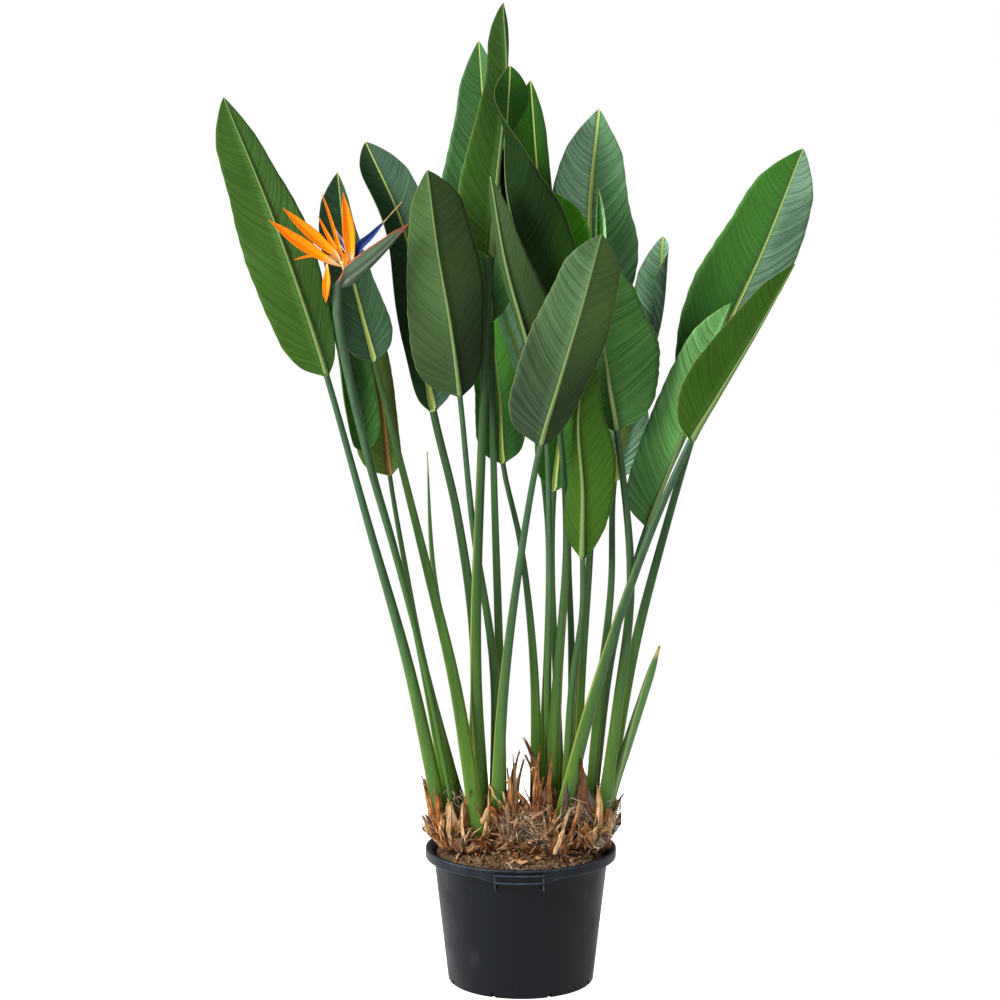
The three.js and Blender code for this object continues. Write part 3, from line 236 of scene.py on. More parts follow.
# Spears: points and widths from foot to tip.
SPEARS = [
    dict(name="spear_left", points=[(-76, 14, 245), (-110, 2, 495), (-145, 0, 695), (-155, -5, 895)],
         widths=[13, 12, 11, 8, 2]),
    dict(name="spear_right",
         points=[(138, -12, 245), (150, -15.5, 315), (176, -15, 400), (203, -12, 485), (230, -8, 570)],
         widths=[20, 21, 20, 19, 18, 17, 15.5, 13, 4]),
]
SPEAR_ROWS = 60
SPEAR_COLUMNS = 40
SPEAR_FLATNESS = 0.75

# Pot and soil
BASE_RADIUS = 0.122
BASE_ROUNDING = 0.004
WALL_THICKNESS = 0.003
WALL_TOP_RADIUS = 0.146
RIM_RADIUS = 0.16
RIM_TOP = 0.228
RIM_BOTTOM = 0.212
RIM_LIP = 0.008
WALL_LEAN = (WALL_TOP_RADIUS - BASE_RADIUS) / (RIM_BOTTOM - BASE_ROUNDING)
NOTCHES = 8
NOTCH_WIDTH = 0.007
NOTCH_HEIGHT = 0.008
NOTCH_DEPTH = 0.008
POT_COLUMNS = 192
GRIP_REACH = 0.168
GRIP_HALF_WIDTH = 0.041
GRIP_TOP = 0.222
GRIP_BOTTOM = 0.206
GRIP_ROOT = 0.1435
GRIP_FIN_FOOT = 0.189
GRIP_FIN_PROUD = 0.0006
GRIP_FIN = 0.003
GRIP_TURN = -1.5
GUSSET_LENGTH = 0.031
SOIL_EDGE = 0.218
SOIL_RISE = 0.019
SOIL_SPREAD = 0.143
SOIL_GAP = 0.0014
SOIL_SEED = 5
CRUMB_SIZE = (0.001, 0.0036)
CHIP_SIZE = (0.002, 0.0055)
CRUMB_REACH = 0.136
POT_SHARP_ANGLE = 42

# Straws on the soil: place, bearing in degrees, length, width and tone.
STRAWS = [
    (-20, -118, 20, 30, 2.2, 0.95), (-12, -128, 75, 20, 1.6, 0.9), (2, -130, 95, 24, 1.4, 0.98),
    (30, -122, 100, 32, 1.8, 0.92), (60, -118, 70, 30, 1.6, 0.95), (-75, -112, 110, 20, 1.6, 0.85),
    (-100, -90, 60, 24, 1.4, 0.7), (100, -85, 130, 30, 1.8, 0.8), (-40, -100, 150, 26, 1.2, 0.6),
    (85, -100, 20, 22, 1.3, 0.9), (0, 120, 80, 30, 1.8, 0.9), (50, 110, 140, 26, 1.6, 0.8),
    (-60, 110, 30, 28, 1.6, 0.95), (-110, 70, 100, 22, 1.4, 0.7), (120, 50, 45, 24, 1.5, 0.85),
    (5, 20, 160, 40, 2, 0.9), (10, -60, 30, 50, 2, 0.9), (-8, -75, 140, 36, 1.6, 0.75)
]

# Stage

BACKDROP = 1.0
FLOOR_HALF = 1.6
PLANT_MIDDLE = (0, 0, 0.8)

# Crowns: how far their parts may reach in the pot's mouth and over its rim, and the rootstock's heights
# with the share of its half sizes at each.
MOUTH_REACH = 0.136
RIM_CLEARANCE = 0.004
HUSK_REACH = 0.169
CROWN_LEVELS = [(0.196, 0.86), (0.218, 1), (0.24, 0.97), (0.266, 0.86), (0.29, 0.66), (0.308, 0.3)]
CROWN_WIDEST = 0.24
CROWN_TOP = 0.308
ROOTSTOCK_GRID = (44, 120)

# Stalks whose foot is left of this x, in millimetres, stand in the left crown.
CROWN_SPLIT = 12

HUSK_FOOT = 0.228
HUSK_BOW = 0.4
HUSK_THICKNESS = 0.0009
HUSK_GRID = (22, 11)
STRIP_CREASE = 0.0008
STRIP_TORN = 0.45
STRIP_GRID = (11, 6)
NAMED_STRIP_GRID = (16, 9)
LIPS = 5

# Each husk: its place, the bearing it looks in, its width and height, and how far its tip leans out as a
# share of the height. Each torn strip: points along it, its width, its tone from grey (0) to straw (1) and
# its twist in degrees.
CROWNS = [
    dict(name="crown_left", centre=(-72, 6), half=(75, 58), lean=18,
         husks=[(-138, -14, 292, 30, 124, 0.2), (-126, -32, 312, 32, 72, 0.55),
                (-114, -40, 335, 30, 98, 0.08), (-94, -50, 0, 26, 110, 0.02),
                (-42, -50, 25, 30, 92, -0.05), (-24, -34, 40, 26, 92, 0.05), (-16, -12, 60, 28, 170, 0.05),
                (-8, 14, 80, 30, 146, 0.06), (-4, -10, 20, 24, 88, 0.02), (-34, 56, 165, 30, 110, 0.2),
                (-82, 63, 180, 34, 100, 0.25), (-126, 40, 225, 32, 112, 0.25)],
         strips=[
            ([(-138, -30, 235), (-150, -36, 262), (-166, -30, 291)], 14, 0.75, 60),
            ([(-134, -24, 240), (-147, -26, 290), (-163, -20, 345)], 12, 0.5, 40),
            ([(-142, -20, 240), (-152, -22, 275), (-158, -14, 330)], 10, 0.7, 90),
            ([(-128, -45, 236), (-135, -55, 262), (-130, -50, 300)], 14, 0.8, 30),
            ([(-118, -52, 235), (-122, -60, 270), (-116, -52, 315)], 12, 0.9, 50),
            ([(-98, -50, 240), (-100, -58, 280), (-94, -50, 325)], 18, 0.95, 90),
            ([(-108, -58, 232), (-104, -70, 245), (-98, -64, 262)], 20, 0.15, 20),
            ([(-90, -62, 232), (-82, -74, 240), (-70, -66, 252)], 16, 0.75, 40),
            ([(-75, -62, 236), (-60, -60, 270), (-52, -52, 345)], 7, 0.7, 80),
            ([(-53, -50, 345), (-40, -58, 320), (-31, -56, 305)], 3.5, 0.95, 20),
            ([(-50, -55, 310), (-42, -62, 300), (-36, -52, 282)], 15, 0.5, 30),
            ([(-22, -40, 250), (-18, -50, 300), (-22, -40, 380)], 11, 0.6, 60),
            ([(-12, -30, 260), (-8, -40, 320), (-14, -30, 400)], 7, 0.8, 80)]),
    dict(name="crown_right", centre=(92, 8), half=(80, 56), lean=-18,
         husks=[(30, -22, 300, 26, 192, 0.04), (24, -4, 285, 26, 160, 0.06), (42, -38, 330, 26, 118, 0.02),
                (58, -50, 0, 40, 74, 0.03), (78, -46, 40, 28, 124, 0.02), (103, -40, 350, 20, 166, 0.03),
                (122, -40, 345, 34, 116, 0.02), (138, -34, 20, 32, 72, 0.1), (148, -16, 65, 30, 98, 0.2),
                (150, 28, 110, 30, 100, 0.15), (112, 62, 165, 34, 108, 0.2), (46, 54, 205, 32, 100, 0.12)],
         strips=[
            ([(20, -30, 250), (24, -40, 320), (32, -30, 410)], 9, 0.5, 60),
            ([(28, -30, 360), (20, -40, 372), (14, -36, 360)], 3, 0.8, 20),
            ([(50, -36, 270), (46, -44, 330), (52, -36, 400)], 8, 0.45, 70),
            ([(30, -50, 245), (26, -60, 280), (30, -50, 330)], 15, 0.3, 40),
            ([(60, -55, 250), (50, -64, 280), (44, -54, 315)], 12, 0.85, 60),
            ([(66, -56, 262), (70, -66, 285), (84, -58, 310)], 11, 0.9, 50),
            ([(75, -56, 250), (88, -62, 280), (100, -50, 330)], 8, 0.6, 30),
            ([(54, -95, 238), (62, -90, 262), (74, -78, 284)], 10, 1, 40),
            ([(50, -85, 236), (52, -92, 250), (60, -90, 270)], 8, 0.3, 20),
            ([(128, -40, 250), (130, -50, 290), (126, -40, 350)], 12, 0.8, 50),
            ([(138, -34, 245), (146, -40, 275), (150, -30, 300)], 17, 0.9, 40),
            ([(142, -20, 240), (152, -22, 275), (168, -20, 316)], 11, 0.75, 60),
            ([(145, -10, 250), (156, -10, 285), (162, -4, 310)], 9, 0.4, 40),
            ([(105, -55, 240), (110, -64, 260), (104, -58, 290)], 15, 0.45, 30)]),
]

# Tangles of fibre on the crowns' fronts: middle, half sizes and number of fibres.
TANGLES = {
    "crown_left": [
        ((-12, -46, 262), (42, 22, 50), 170)],
    "crown_right": [
        ((26, -50, 262), (45, 20, 50), 170), ((92, -36, 275), (30, 20, 55), 150),
        ((128, -45, 250), (22, 16, 25), 70)],
}

# Bundles of torn shreds that fan out from one foot: its place, their length, the fan's spread in degrees,
# their number and tone.
BUNDLES = {
    "crown_left": [
        ((-120, -50, 236), 70, 22, 16, 0.75), ((-138, -30, 240), 70, 24, 14, 0.6),
        ((-96, -56, 234), 60, 28, 14, 0.85), ((-70, -62, 236), 50, 34, 12, 0.5),
        ((-46, -58, 236), 60, 30, 14, 0.7), ((-22, -50, 240), 110, 16, 16, 0.7),
        ((-10, -55, 238), 60, 40, 20, 0.8), ((-80, 66, 238), 60, 40, 14, 0.6),
        ((-140, 20, 238), 60, 30, 12, 0.7)],
    "crown_right": [
        ((22, -75, 232), 50, 36, 24, 0.35), ((30, -40, 260), 120, 14, 14, 0.55),
        ((6, -50, 245), 60, 40, 18, 0.85), ((64, -68, 236), 50, 26, 14, 0.9),
        ((50, -60, 240), 80, 22, 14, 0.75), ((90, -55, 240), 70, 26, 16, 0.45),
        ((118, -50, 240), 70, 24, 16, 0.8), ((142, -34, 240), 65, 24, 18, 0.85),
        ((100, 66, 238), 60, 40, 14, 0.6), ((150, 20, 238), 60, 30, 12, 0.7)],
}

UP = np.array([0, 0, 1.0])


def metres(sizes):
    """Sizes from a table, in metres."""
    return np.array(sizes) / 1000


def along(values, share):
    """A smooth line through evenly spaced values, read at shares of its length, or a single value."""
    if np.isscalar(values):
        return np.full(np.shape(share), float(values))
    values = np.asarray(values, float)
    step = np.clip(share, 0, 1) * (len(values) - 1)
    i = np.minimum(np.floor(step).astype(int), len(values) - 2)
    t = step - i
    before = values[np.maximum(i - 1, 0)]
    after = values[np.minimum(i + 2, len(values) - 1)]
    start = (values[i + 1] - before) / 2
    end = (after - values[i]) / 2
    rise = values[i + 1] - values[i]
    return values[i] + start * t + (3 * rise - 2 * start - end) * t**2 + (start + end - 2 * rise) * t**3


def lerp(a, b, share):
    return a + (b - a) * share


def smooth(value, low, high):
    """0 below low, 1 above high, and an S-curve between."""
    t = np.clip((np.asarray(value, float) - low) / (high - low), 0, 1)
    return t * t * (3 - 2 * t)


def unit(v):
    return v / np.maximum(np.linalg.norm(v, axis=-1, keepdims=True), 1e-12)


def facing(degrees):
    """A level direction: 0 looks at the viewer (-Y), 90 at +X, 180 away from the viewer."""
    a = np.radians(degrees)
    return np.stack([np.sin(a), -np.cos(a), np.zeros_like(a)], -1)


class Midline:
    """A smooth line through given points, read at shares of its length."""

    SPAN = 60
    STEP = 1e-4

    def __init__(self, points, foot_index=0):
        given = np.array(points, float)
        p = np.vstack([2 * given[0] - given[1], given, 2 * given[-1] - given[-2]])
        self.spans = len(given) - 1
        rows = [self.cubic(*p[i:i + 4]) for i in range(self.spans)]
        self.cubics = np.array(rows)
        self.params = np.linspace(0, 1, self.SPAN * self.spans + 1)
        gaps = np.linalg.norm(np.diff(self.raw(self.params), axis=0), axis=1)
        lengths = np.concatenate([[0], np.cumsum(gaps)])
        self.length = lengths[-1]
        self.table = lengths / self.length
        self.foot = self.table[self.SPAN * foot_index]

    @staticmethod
    def cubic(x0, x1, x2, x3):
        """The centripetal Catmull-Rom cubic from x1 to x2."""
        d0, d1, d2 = (np.sum((b - a) ** 2) ** 0.25 for a, b in ((x0, x1), (x1, x2), (x2, x3)))
        t1 = ((x1 - x0) / d0 - (x2 - x0) / (d0 + d1) + (x2 - x1) / d1) * d1
        t2 = ((x2 - x1) / d1 - (x3 - x1) / (d1 + d2) + (x3 - x2) / d2) * d1
        return np.array([x1, t1, -3 * x1 + 3 * x2 - 2 * t1 - t2, 2 * x1 - 2 * x2 + t1 + t2])

    def raw(self, param):
        s = np.clip(param, 0, 1) * self.spans
        i = np.minimum(np.floor(s).astype(int), self.spans - 1)
        w = (s - i)[..., None]
        c = self.cubics[i]
        return c[..., 0, :] + w * (c[..., 1, :] + w * (c[..., 2, :] + w * c[..., 3, :]))

    def frame(self, share, face):
        """Centre, across (right, seen on the upper face) and out of that face, at shares of the length."""
        param = np.interp(share, self.table, self.params)
        centre = self.raw(param)
        way = unit(self.raw(param + self.STEP) - self.raw(param - self.STEP))
        out = unit(face - way * np.sum(face * way, -1, keepdims=True))
        return centre, np.cross(way, out), out


def place(spot, across, out):
    centre, right, up = spot
    return centre + right * np.asarray(across)[..., None] + up * np.asarray(out)[..., None]


def closed_faces(rows, columns):
    """Triangles of a skin over rings of equal length, with a fan over each end. Fan middles come last."""
    i, j = np.meshgrid(np.arange(rows - 1), np.arange(columns), indexing="ij")
    a = (i * columns + j).ravel()
    b = (i * columns + (j + 1) % columns).ravel()
    c = a + columns
    d = b + columns
    sides = np.stack([np.stack([a, b, d], -1), np.stack([a, d, c], -1)], 1).reshape(-1, 3)
    k = np.arange(columns)
    nxt = (k + 1) % columns
    first = rows * columns
    last = (rows - 1) * columns
    foot = np.stack([np.full(columns, first), nxt, k], -1)
    tip = np.stack([np.full(columns, first + 1), last + k, last + nxt], -1)
    return np.vstack([sides, foot, tip])


def with_middles(grid):
    """A grid's points or values as one list, followed by the middle of the first ring and of the last."""
    flat = grid.reshape(-1, *grid.shape[2:])
    return np.concatenate([flat, [grid[0].mean(0), grid[-1].mean(0)]])


def round_ring(top, under):
    """Columns over the top from left to right, and then those under it from right to left."""
    return np.concatenate([top, under[:, ::-1]], 1)


def skin(rings, slot=0, uv=(0, 0), **values):
    """A closed skin: its rings, the UVs and named values of its points, and its material's slot."""
    shape = rings.shape[:2]
    uv = np.stack([np.broadcast_to(part, shape) for part in uv], -1)
    return rings, uv, {key: np.broadcast_to(value, shape) for key, value in values.items()}, slot


def add_piece(name, points, faces, materials, face_slots=None, uv=None, values=None, flat=False):
    """A new mesh object: points, triangles, a material per face, a UV per point and named values."""
    faces = np.ascontiguousarray(faces, dtype=np.int32)
    mesh = bpy.data.meshes.new(name)
    mesh.vertices.add(len(points))
    mesh.vertices.foreach_set("co", np.ascontiguousarray(points, dtype=np.float32).ravel())
    mesh.loops.add(faces.size)
    mesh.loops.foreach_set("vertex_index", faces.ravel())
    mesh.polygons.add(len(faces))
    mesh.polygons.foreach_set("loop_start", np.arange(0, faces.size, 3, dtype=np.int32))
    if face_slots is not None:
        mesh.polygons.foreach_set("material_index", np.ascontiguousarray(face_slots, dtype=np.int32))
    mesh.polygons.foreach_set("use_smooth", np.full(len(faces), not flat))
    mesh.update(calc_edges=True)
    for material in materials:
        mesh.materials.append(material)
    if uv is not None:
        layer = mesh.uv_layers.new(name="Vein")
        layer.data.foreach_set("uv", np.ascontiguousarray(uv[faces.ravel()], dtype=np.float32).ravel())
    for key, data in (values or {}).items():
        attribute = mesh.attributes.new(key, "FLOAT", "POINT")
        attribute.data.foreach_set("value", np.ascontiguousarray(data, dtype=np.float32))
    piece = bpy.data.objects.new(name, mesh)
    bpy.context.scene.collection.objects.link(piece)
    return piece


def stands_for(piece, slot, *nodes):
    """The piece rides on the plant and stands for the CAD nodes, which it hides. The slot is not used."""
    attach(piece, ROOT)
    if nodes:
        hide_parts(*nodes)
    return piece


# Blades and stalks

def reach(spec, side, share):
    """Half the blade's width: rounded off over the foot and drawn to a point over the tip."""
    foot = np.sqrt(1 - (1 - np.minimum(share / spec["foot_rounding"], 1)) ** 2)
    tip = (1 - (1 - np.minimum((1 - share) / TIP_ROUNDING, 1)) ** TIP_BEND) ** TIP_POWER
    uneven = np.sin(share * 41 + 2 * side + len(spec["name"])) + np.sin(share * 97 + side)
    uneven = 1 + EDGE_UNEVEN * uneven
    return np.maximum(along(metres(spec["half"][side]), share) * foot * tip * uneven, TIP_HALF_WIDTH)


def blade_side(spec, side, spot, share, t, lift):
    """Points of one half: it leaves the midrib at the fold angle and bends by the curl to its edge."""
    sign = -1 if side == 0 else 1
    width = reach(spec, side, share)
    widest = max(metres(spec["half"][side]))
    run = np.abs(t) * width
    fold = np.radians(along(spec["fold"][side], share))
    bend = np.radians(along(spec["curl"][side], share)) / widest
    turn = fold + bend * run
    safe = np.where(np.abs(bend) > 1e-6, bend, 1.0)
    straight = np.abs(bend) <= 1e-6
    out = np.where(straight, run * np.sin(fold), (np.cos(fold) - np.cos(turn)) / safe)
    across = np.where(straight, run * np.cos(fold), (np.sin(turn) - np.sin(fold)) / safe)
    height, count, start = spec["wave"]
    ripple = metres(height) * width / widest * t * t * np.sin(2 * np.pi * (count * share + start) + 2 * side)
    rise = lift + ripple
    return place(spot, sign * (across - rise * np.sin(turn)), out + rise * np.cos(turn))


def blade_skin(spec, spot, share, t, lifts):
    """The rings of a blade: both its halves at each of two lifts, over the top and back under it."""
    middle = t.shape[1] // 2
    faces = []
    for lift in lifts:
        left, right = (blade_side(spec, side, spot, share, t, lift) for side in (0, 1))
        face = np.where((t < 0)[..., None], left, right)
        face[:, middle] = place(tuple(v[:, middle] for v in spot), 0 * t[:, middle], lift[:, middle])
        faces.append(face)
    return round_ring(*faces)


def steady(direction, share):
    """One direction for every share."""
    return np.broadcast_to(np.array(direction, float), np.shape(share) + (3,))


def blade_face(spec, share):
    return steady(spec["up"], share) if "up" in spec else facing(along(spec["face"], share))


def stalk_face(spec, share):
    """The upper face of a stalk: straight to the front or back at its foot, and the blade's at its top."""
    if "up" in spec:
        return steady(spec["up"], share)
    top = float(np.ravel(spec["face"])[0])
    return facing(lerp(180 * round(top / 180 + 1e-9), top, share))


def stalk_points(spot, width, depth, columns, channel):
    """Points round the stalk, over its upper face from left to right and back under it."""
    c = np.linspace(-1, 1, columns)
    top = np.radians(90 - 75 * c)
    under = np.radians(-90 + 75 * c[::-1])
    angle = np.concatenate([top, under])
    hollow = np.concatenate([1 - (c / 0.55) ** 2, np.zeros(columns)]).clip(0)
    across = width[..., None] / 2 * np.cos(angle)
    out = depth[..., None] / 2 * (np.sin(angle) - channel[..., None] * hollow)
    centre, right, up = spot
    return place((centre[..., None, :], right[..., None, :], up[..., None, :]), across, out)


def leaf_rings(spec, thickness, ridge_strength):
    """The skin of a leaf: rings from its foot to its tip, with a vein place and named values per point."""
    spec = {**LEAF_USUAL, **spec}
    line = Midline(metres(spec["stalk"] + spec["blade"]), len(spec["stalk"]))
    blade_length = line.length * (1 - line.foot)
    stalk_length = line.length * line.foot
    stem_foot, stem_top = metres(spec["stem"])
    ridge_depth, ridge_spacing = metres(spec["ridge"])
    columns = 2 * (len(RIB_STEPS) + HALF_COLUMNS) - 1

    s = np.linspace(0, 1, STALK_ROWS, endpoint=False)
    width = lerp(stem_top, stem_foot, (1 - s) ** STALK_TAPER)
    depth = width * lerp(STALK_FOOT_FLATNESS, STALK_TOP_FLATNESS, s)
    channel = STALK_CHANNEL * np.sin(np.pi * np.clip(s, 0.15, 0.93))
    stalk = stalk_points(line.frame(line.foot * s, stalk_face(spec, s)), width, depth, columns, channel)

    foot = FOOT_SHARE * (np.arange(FOOT_ROWS) / FOOT_ROWS) ** 1.6
    u0 = np.concatenate([foot, np.linspace(FOOT_SHARE, 0.99, BLADE_ROWS), [0.996, 1.0]])
    rib = lerp(stem_top / 2, RIB_TIP_WIDTH, u0 ** 0.42)
    halves = []
    for side in (0, 1):
        edge = np.clip(rib / reach(spec, side, u0), 0, 0.5)[:, None]
        outer = edge + (1 - edge) * np.linspace(0, 1, HALF_COLUMNS + 1)[1:] ** 0.85
        halves.append(np.hstack([edge * np.array(RIB_STEPS), outer]))
    t = np.hstack([-halves[0][:, ::-1], halves[1][:, 1:]])
    slant = spec["slant"] * (1 - u0) ** 0.85 * (1 - np.exp(-u0 / VEIN_ONSET))
    u = np.clip(u0[:, None] + slant[:, None] * np.abs(t) ** VEIN_BEND, 0, 1)
    spot = line.frame(line.foot + (1 - line.foot) * u, blade_face(spec, u))

    run = np.abs(t) * np.where(t < 0, reach(spec, 0, u), reach(spec, 1, u))
    rib_half = rib[:, None]
    clear = smooth(run, rib_half * 1.1, rib_half * 1.1 + 0.006) * (1 - smooth(np.abs(t), 0.86, 1))
    phase = (u0 * blade_length / ridge_spacing + 0.6 * np.sin(u0 * 23 + len(spec["name"]))
             + 0.35 * np.sin(u0 * 57))
    ends = smooth(u0, 0.0, 0.06) * (1 - smooth(u0, 0.9, 1))
    strong = 0.62 + 0.38 * np.sin(u0 * 31 + 2 * len(spec["name"])) * np.sin(u0 * 13 + 1)
    swell = (np.sin(2 * np.pi * phase) + 0.35 * np.sin(4.6 * np.pi * phase + 1)) * strong * ends
    ridge = swell[:, None] * clear * (1 - 0.35 * np.abs(t))
    # The crest is the ridge's height; the finish turns it into painted shade in the troughs and painted
    # highlight on the crests, turned over for the under face.
    crest = ridge * ridge_depth / RIDGE_FULL
    ridge = ridge * ridge_depth * ridge_strength
    half = thickness / 2 * (1 - 0.6 * smooth(np.abs(t), MARGIN_SHARE, 1))
    rib_depth = lerp(stem_top * RIB_DEPTH, RIB_TIP_DEPTH, u0 ** 0.7)[:, None]
    round_off = np.sqrt(np.clip(1 - (run / rib_half) ** 2, 0, 1))
    groove = 0.25 * rib_depth * np.clip(1 - (run / (0.8 * rib_half)) ** 2, 0, 1)
    blade = blade_skin(spec, spot, u, t, (half + ridge - groove, -half + ridge - rib_depth * round_off))
    at_rib = line.frame(line.foot + (1 - line.foot) * u0, blade_face(spec, u0))
    wide = np.full_like(u0, stem_top)
    channel = np.full_like(u0, 0.3 * STALK_CHANNEL)
    tube = stalk_points(at_rib, wide, wide * STALK_TOP_FLATNESS, columns, channel)
    mix = smooth(u0, 0, spec["blend"])[:, None, None]
    rings = np.concatenate([stalk, lerp(tube, blade, mix)])

    level = np.linspace(-1, 1, columns)
    stalk_t = np.tile(np.concatenate([level, level[::-1]]), (STALK_ROWS, 1))
    ring_t = np.concatenate([stalk_t, round_ring(t, t)])
    across = np.sign(t) * run
    uv = (np.concatenate([(s - 1) * stalk_length, u0 * blade_length])[:, None],
          np.concatenate([stalk_t * 0.02, round_ring(across, across)]))
    half_share = smooth(ring_t, -0.12, 0.12)
    # Painted light and shade: each half of the blade gets its own lightness, and its lower part the foot's;
    # the bloom and painted sheen take the same shares but are never raised by the foot.
    foot_shade = 1 + (spec["shade"][2] - 1) * (1 - smooth(u0, 0.1, 0.6))
    foot_shade = np.concatenate([np.ones(STALK_ROWS), foot_shade])[:, None]
    looks = {"shade": lerp(*spec["shade"][:2], half_share) * foot_shade,
             "bloom": lerp(*spec["bloom"], half_share) * np.minimum(foot_shade, 1)}
    # The face that looks away from the plant's front keeps only a mild painted light and painted sheen.
    rise = rings[STALK_ROWS:, :columns] - rings[STALK_ROWS:, :columns - 1:-1]
    back_face = slice(columns, None) if rise[..., 1].mean() < 0 else slice(0, columns)
    for key, limit in BACK_FACE_PAINT_LIMITS.items():
        looks[key][:, back_face] = np.minimum(looks[key][:, back_face], limit)
    return skin(rings, 0, uv, up=np.concatenate([s, 1 + u0])[:, None], edge=np.abs(ring_t),
                cool=spec["cool"], rib=np.concatenate([np.ones(STALK_ROWS), rib / RIB_FULL])[:, None],
                crest=np.concatenate([np.zeros_like(stalk_t), round_ring(crest, -crest)]), **looks)


def leaf_piece(spec, materials, thickness, ridge_strength):
    """One leaf with its stalk as a closed skin: slot 0 the upper face, 1 the under face, 2 the stalk."""
    rings, uv, values, _ = leaf_rings(spec, thickness, ridge_strength)
    rows, around = rings.shape[:2]
    band = np.repeat(np.arange(rows - 1), around)
    column = np.tile(np.arange(around), rows - 1)
    slots = np.where(band < STALK_ROWS, 2, np.where(column < around // 2 - 1, 0, 1))
    slots = np.concatenate([np.repeat(slots, 2), np.full(around, 2), np.full(around, 1)])
    values = {key: with_middles(grid) for key, grid in values.items()}
    return add_piece(spec["name"] + "_fine", with_middles(rings), closed_faces(rows, around), materials,
                     slots, with_middles(uv), values)


def facing_out(points, faces):
    """The triangles of a closed skin, turned over where they look inwards."""
    a, b, c = (points[faces[:, k]] - points[0] for k in range(3))
    return faces if np.sum(a * np.cross(b, c)) >= 0 else faces[:, ::-1]


def merged(parts):
    """Closed skins as one list of points, triangles, slots, UVs and named values."""
    points, faces, slots, uvs, start = [], [], [], [], 0
    values = {key: [] for part in parts for key in part[2]}
    for rings, uv, named, slot in parts:
        points.append(with_middles(rings))
        faces.append(facing_out(points[-1], closed_faces(*rings.shape[:2])) + start)
        slots.append(np.full(len(faces[-1]), slot))
        uvs.append(with_middles(uv))
        for key, grids in values.items():
            grids.append(with_middles(named.get(key, np.zeros(rings.shape[:2]))))
        start += len(points[-1])
    joined = {key: np.concatenate(grids) for key, grids in values.items()}
    return np.vstack(points), np.vstack(faces), np.concatenate(slots), np.vstack(uvs), joined


def add_parts(name, parts, materials):
    points, faces, slots, uv, values = merged(parts)
    return add_piece(name, points, faces, materials, slots, uv, values)


# Petals, spears and pegs

def petal_part(points, up, half, fold):
    """One petal: 'up' runs from its root to its tip, and 'edge' from its middle to its sides."""
    line = Midline(metres(points))
    spec = {**LEAF_USUAL, "name": "petal", "half": [half, half], "fold": (fold, fold), "curl": (0, 0),
            "wave": (0, 1, 0)}
    u = np.concatenate([[0], np.linspace(0.01, 0.985, PETAL_ROWS), [1.0]])[:, None]
    t = np.tile(np.linspace(-1, 1, PETAL_COLUMNS), (len(u), 1))
    share = np.repeat(u, PETAL_COLUMNS, 1)
    ridge = PETAL_RIDGE * np.cos(t * 14) * np.sin(np.pi * share)
    lifts = (PETAL_THICKNESS / 2 + ridge, -PETAL_THICKNESS / 2 + ridge)
    rings = blade_skin(spec, line.frame(share, steady(up, share)), share, t, lifts)
    ring_t = round_ring(t, t)
    return skin(rings, 0, (u * line.length, ring_t * metres(max(half))), up=u, edge=np.abs(ring_t))


def peg_part(start, end, foot, top):
    """A round stub between two points, for what holds the petals."""
    share = np.linspace(0, 1, 8)
    spot = Midline(metres([start, end])).frame(share, steady((0, -1, 0), share))
    radius = lerp(metres(foot), metres(top), share)[:, None]
    angle = np.radians(np.linspace(180, -180, 20, endpoint=False))
    spot = tuple(v[:, None, :] for v in spot)
    return skin(place(spot, radius * np.cos(angle), radius * np.sin(angle)), up=0.02)


def spear_part(spec):
    """A young leaf rolled into a spear, with the lap of its outer edge running up it in a slow turn."""
    line = Midline(metres(spec["points"]))
    share = np.linspace(0, 1, SPEAR_ROWS)
    spot = line.frame(share, facing(np.zeros_like(share)))
    width = along(metres(spec["widths"]), share)
    angle = np.radians(np.linspace(165, -195, SPEAR_COLUMNS, endpoint=False))
    lap = np.radians(20 + 150 * share)[:, None]
    gone = np.mod(angle[None, :] - lap, 2 * np.pi) / (2 * np.pi)
    roll = 1 - 0.12 * gone * np.sin(np.pi * np.clip(share, 0.02, 0.97))[:, None]
    across = width[:, None] / 2 * np.cos(angle) * roll
    out = width[:, None] / 2 * SPEAR_FLATNESS * np.sin(angle) * roll
    rings = place(tuple(v[:, None, :] for v in spot), across, out)
    seam = np.exp(-(np.minimum(gone, 1 - gone) / 0.025) ** 2)
    up = share[:, None]
    return skin(rings, 0, (up * line.length, np.sin(angle) * 0.02), up=up, edge=seam)


# Crowns

def within_pot(x, y, z):
    """Keeps points inside the pot's mouth: clear of the wall below the rim, further out above it."""
    limit = np.minimum(MOUTH_REACH + np.maximum(z - RIM_TOP - RIM_CLEARANCE, 0), HUSK_REACH)
    factor = np.minimum(limit / np.maximum(np.hypot(x, y), 1e-9), 1)
    return x * factor, y * factor


def settled(points):
    """Keeps points inside the pot's mouth and just clear of the soil."""
    x, y = within_pot(points[..., 0], points[..., 1], points[..., 2])
    return np.stack([x, y, np.maximum(points[..., 2], soil_height(x, y) + 0.001)], -1)


def roughness_grid(rng, rows, columns, passes):
    """A random grid that closes on itself across, softened a number of times."""
    grid = rng.normal(0, 1, (rows, columns))
    for _ in range(passes):
        grid = (grid + np.roll(grid, 1, 1) + np.roll(grid, -1, 1)) / 3
        grid[1:-1] = (grid[:-2] + grid[1:-1] + grid[2:]) / 3
    return grid / grid.std()


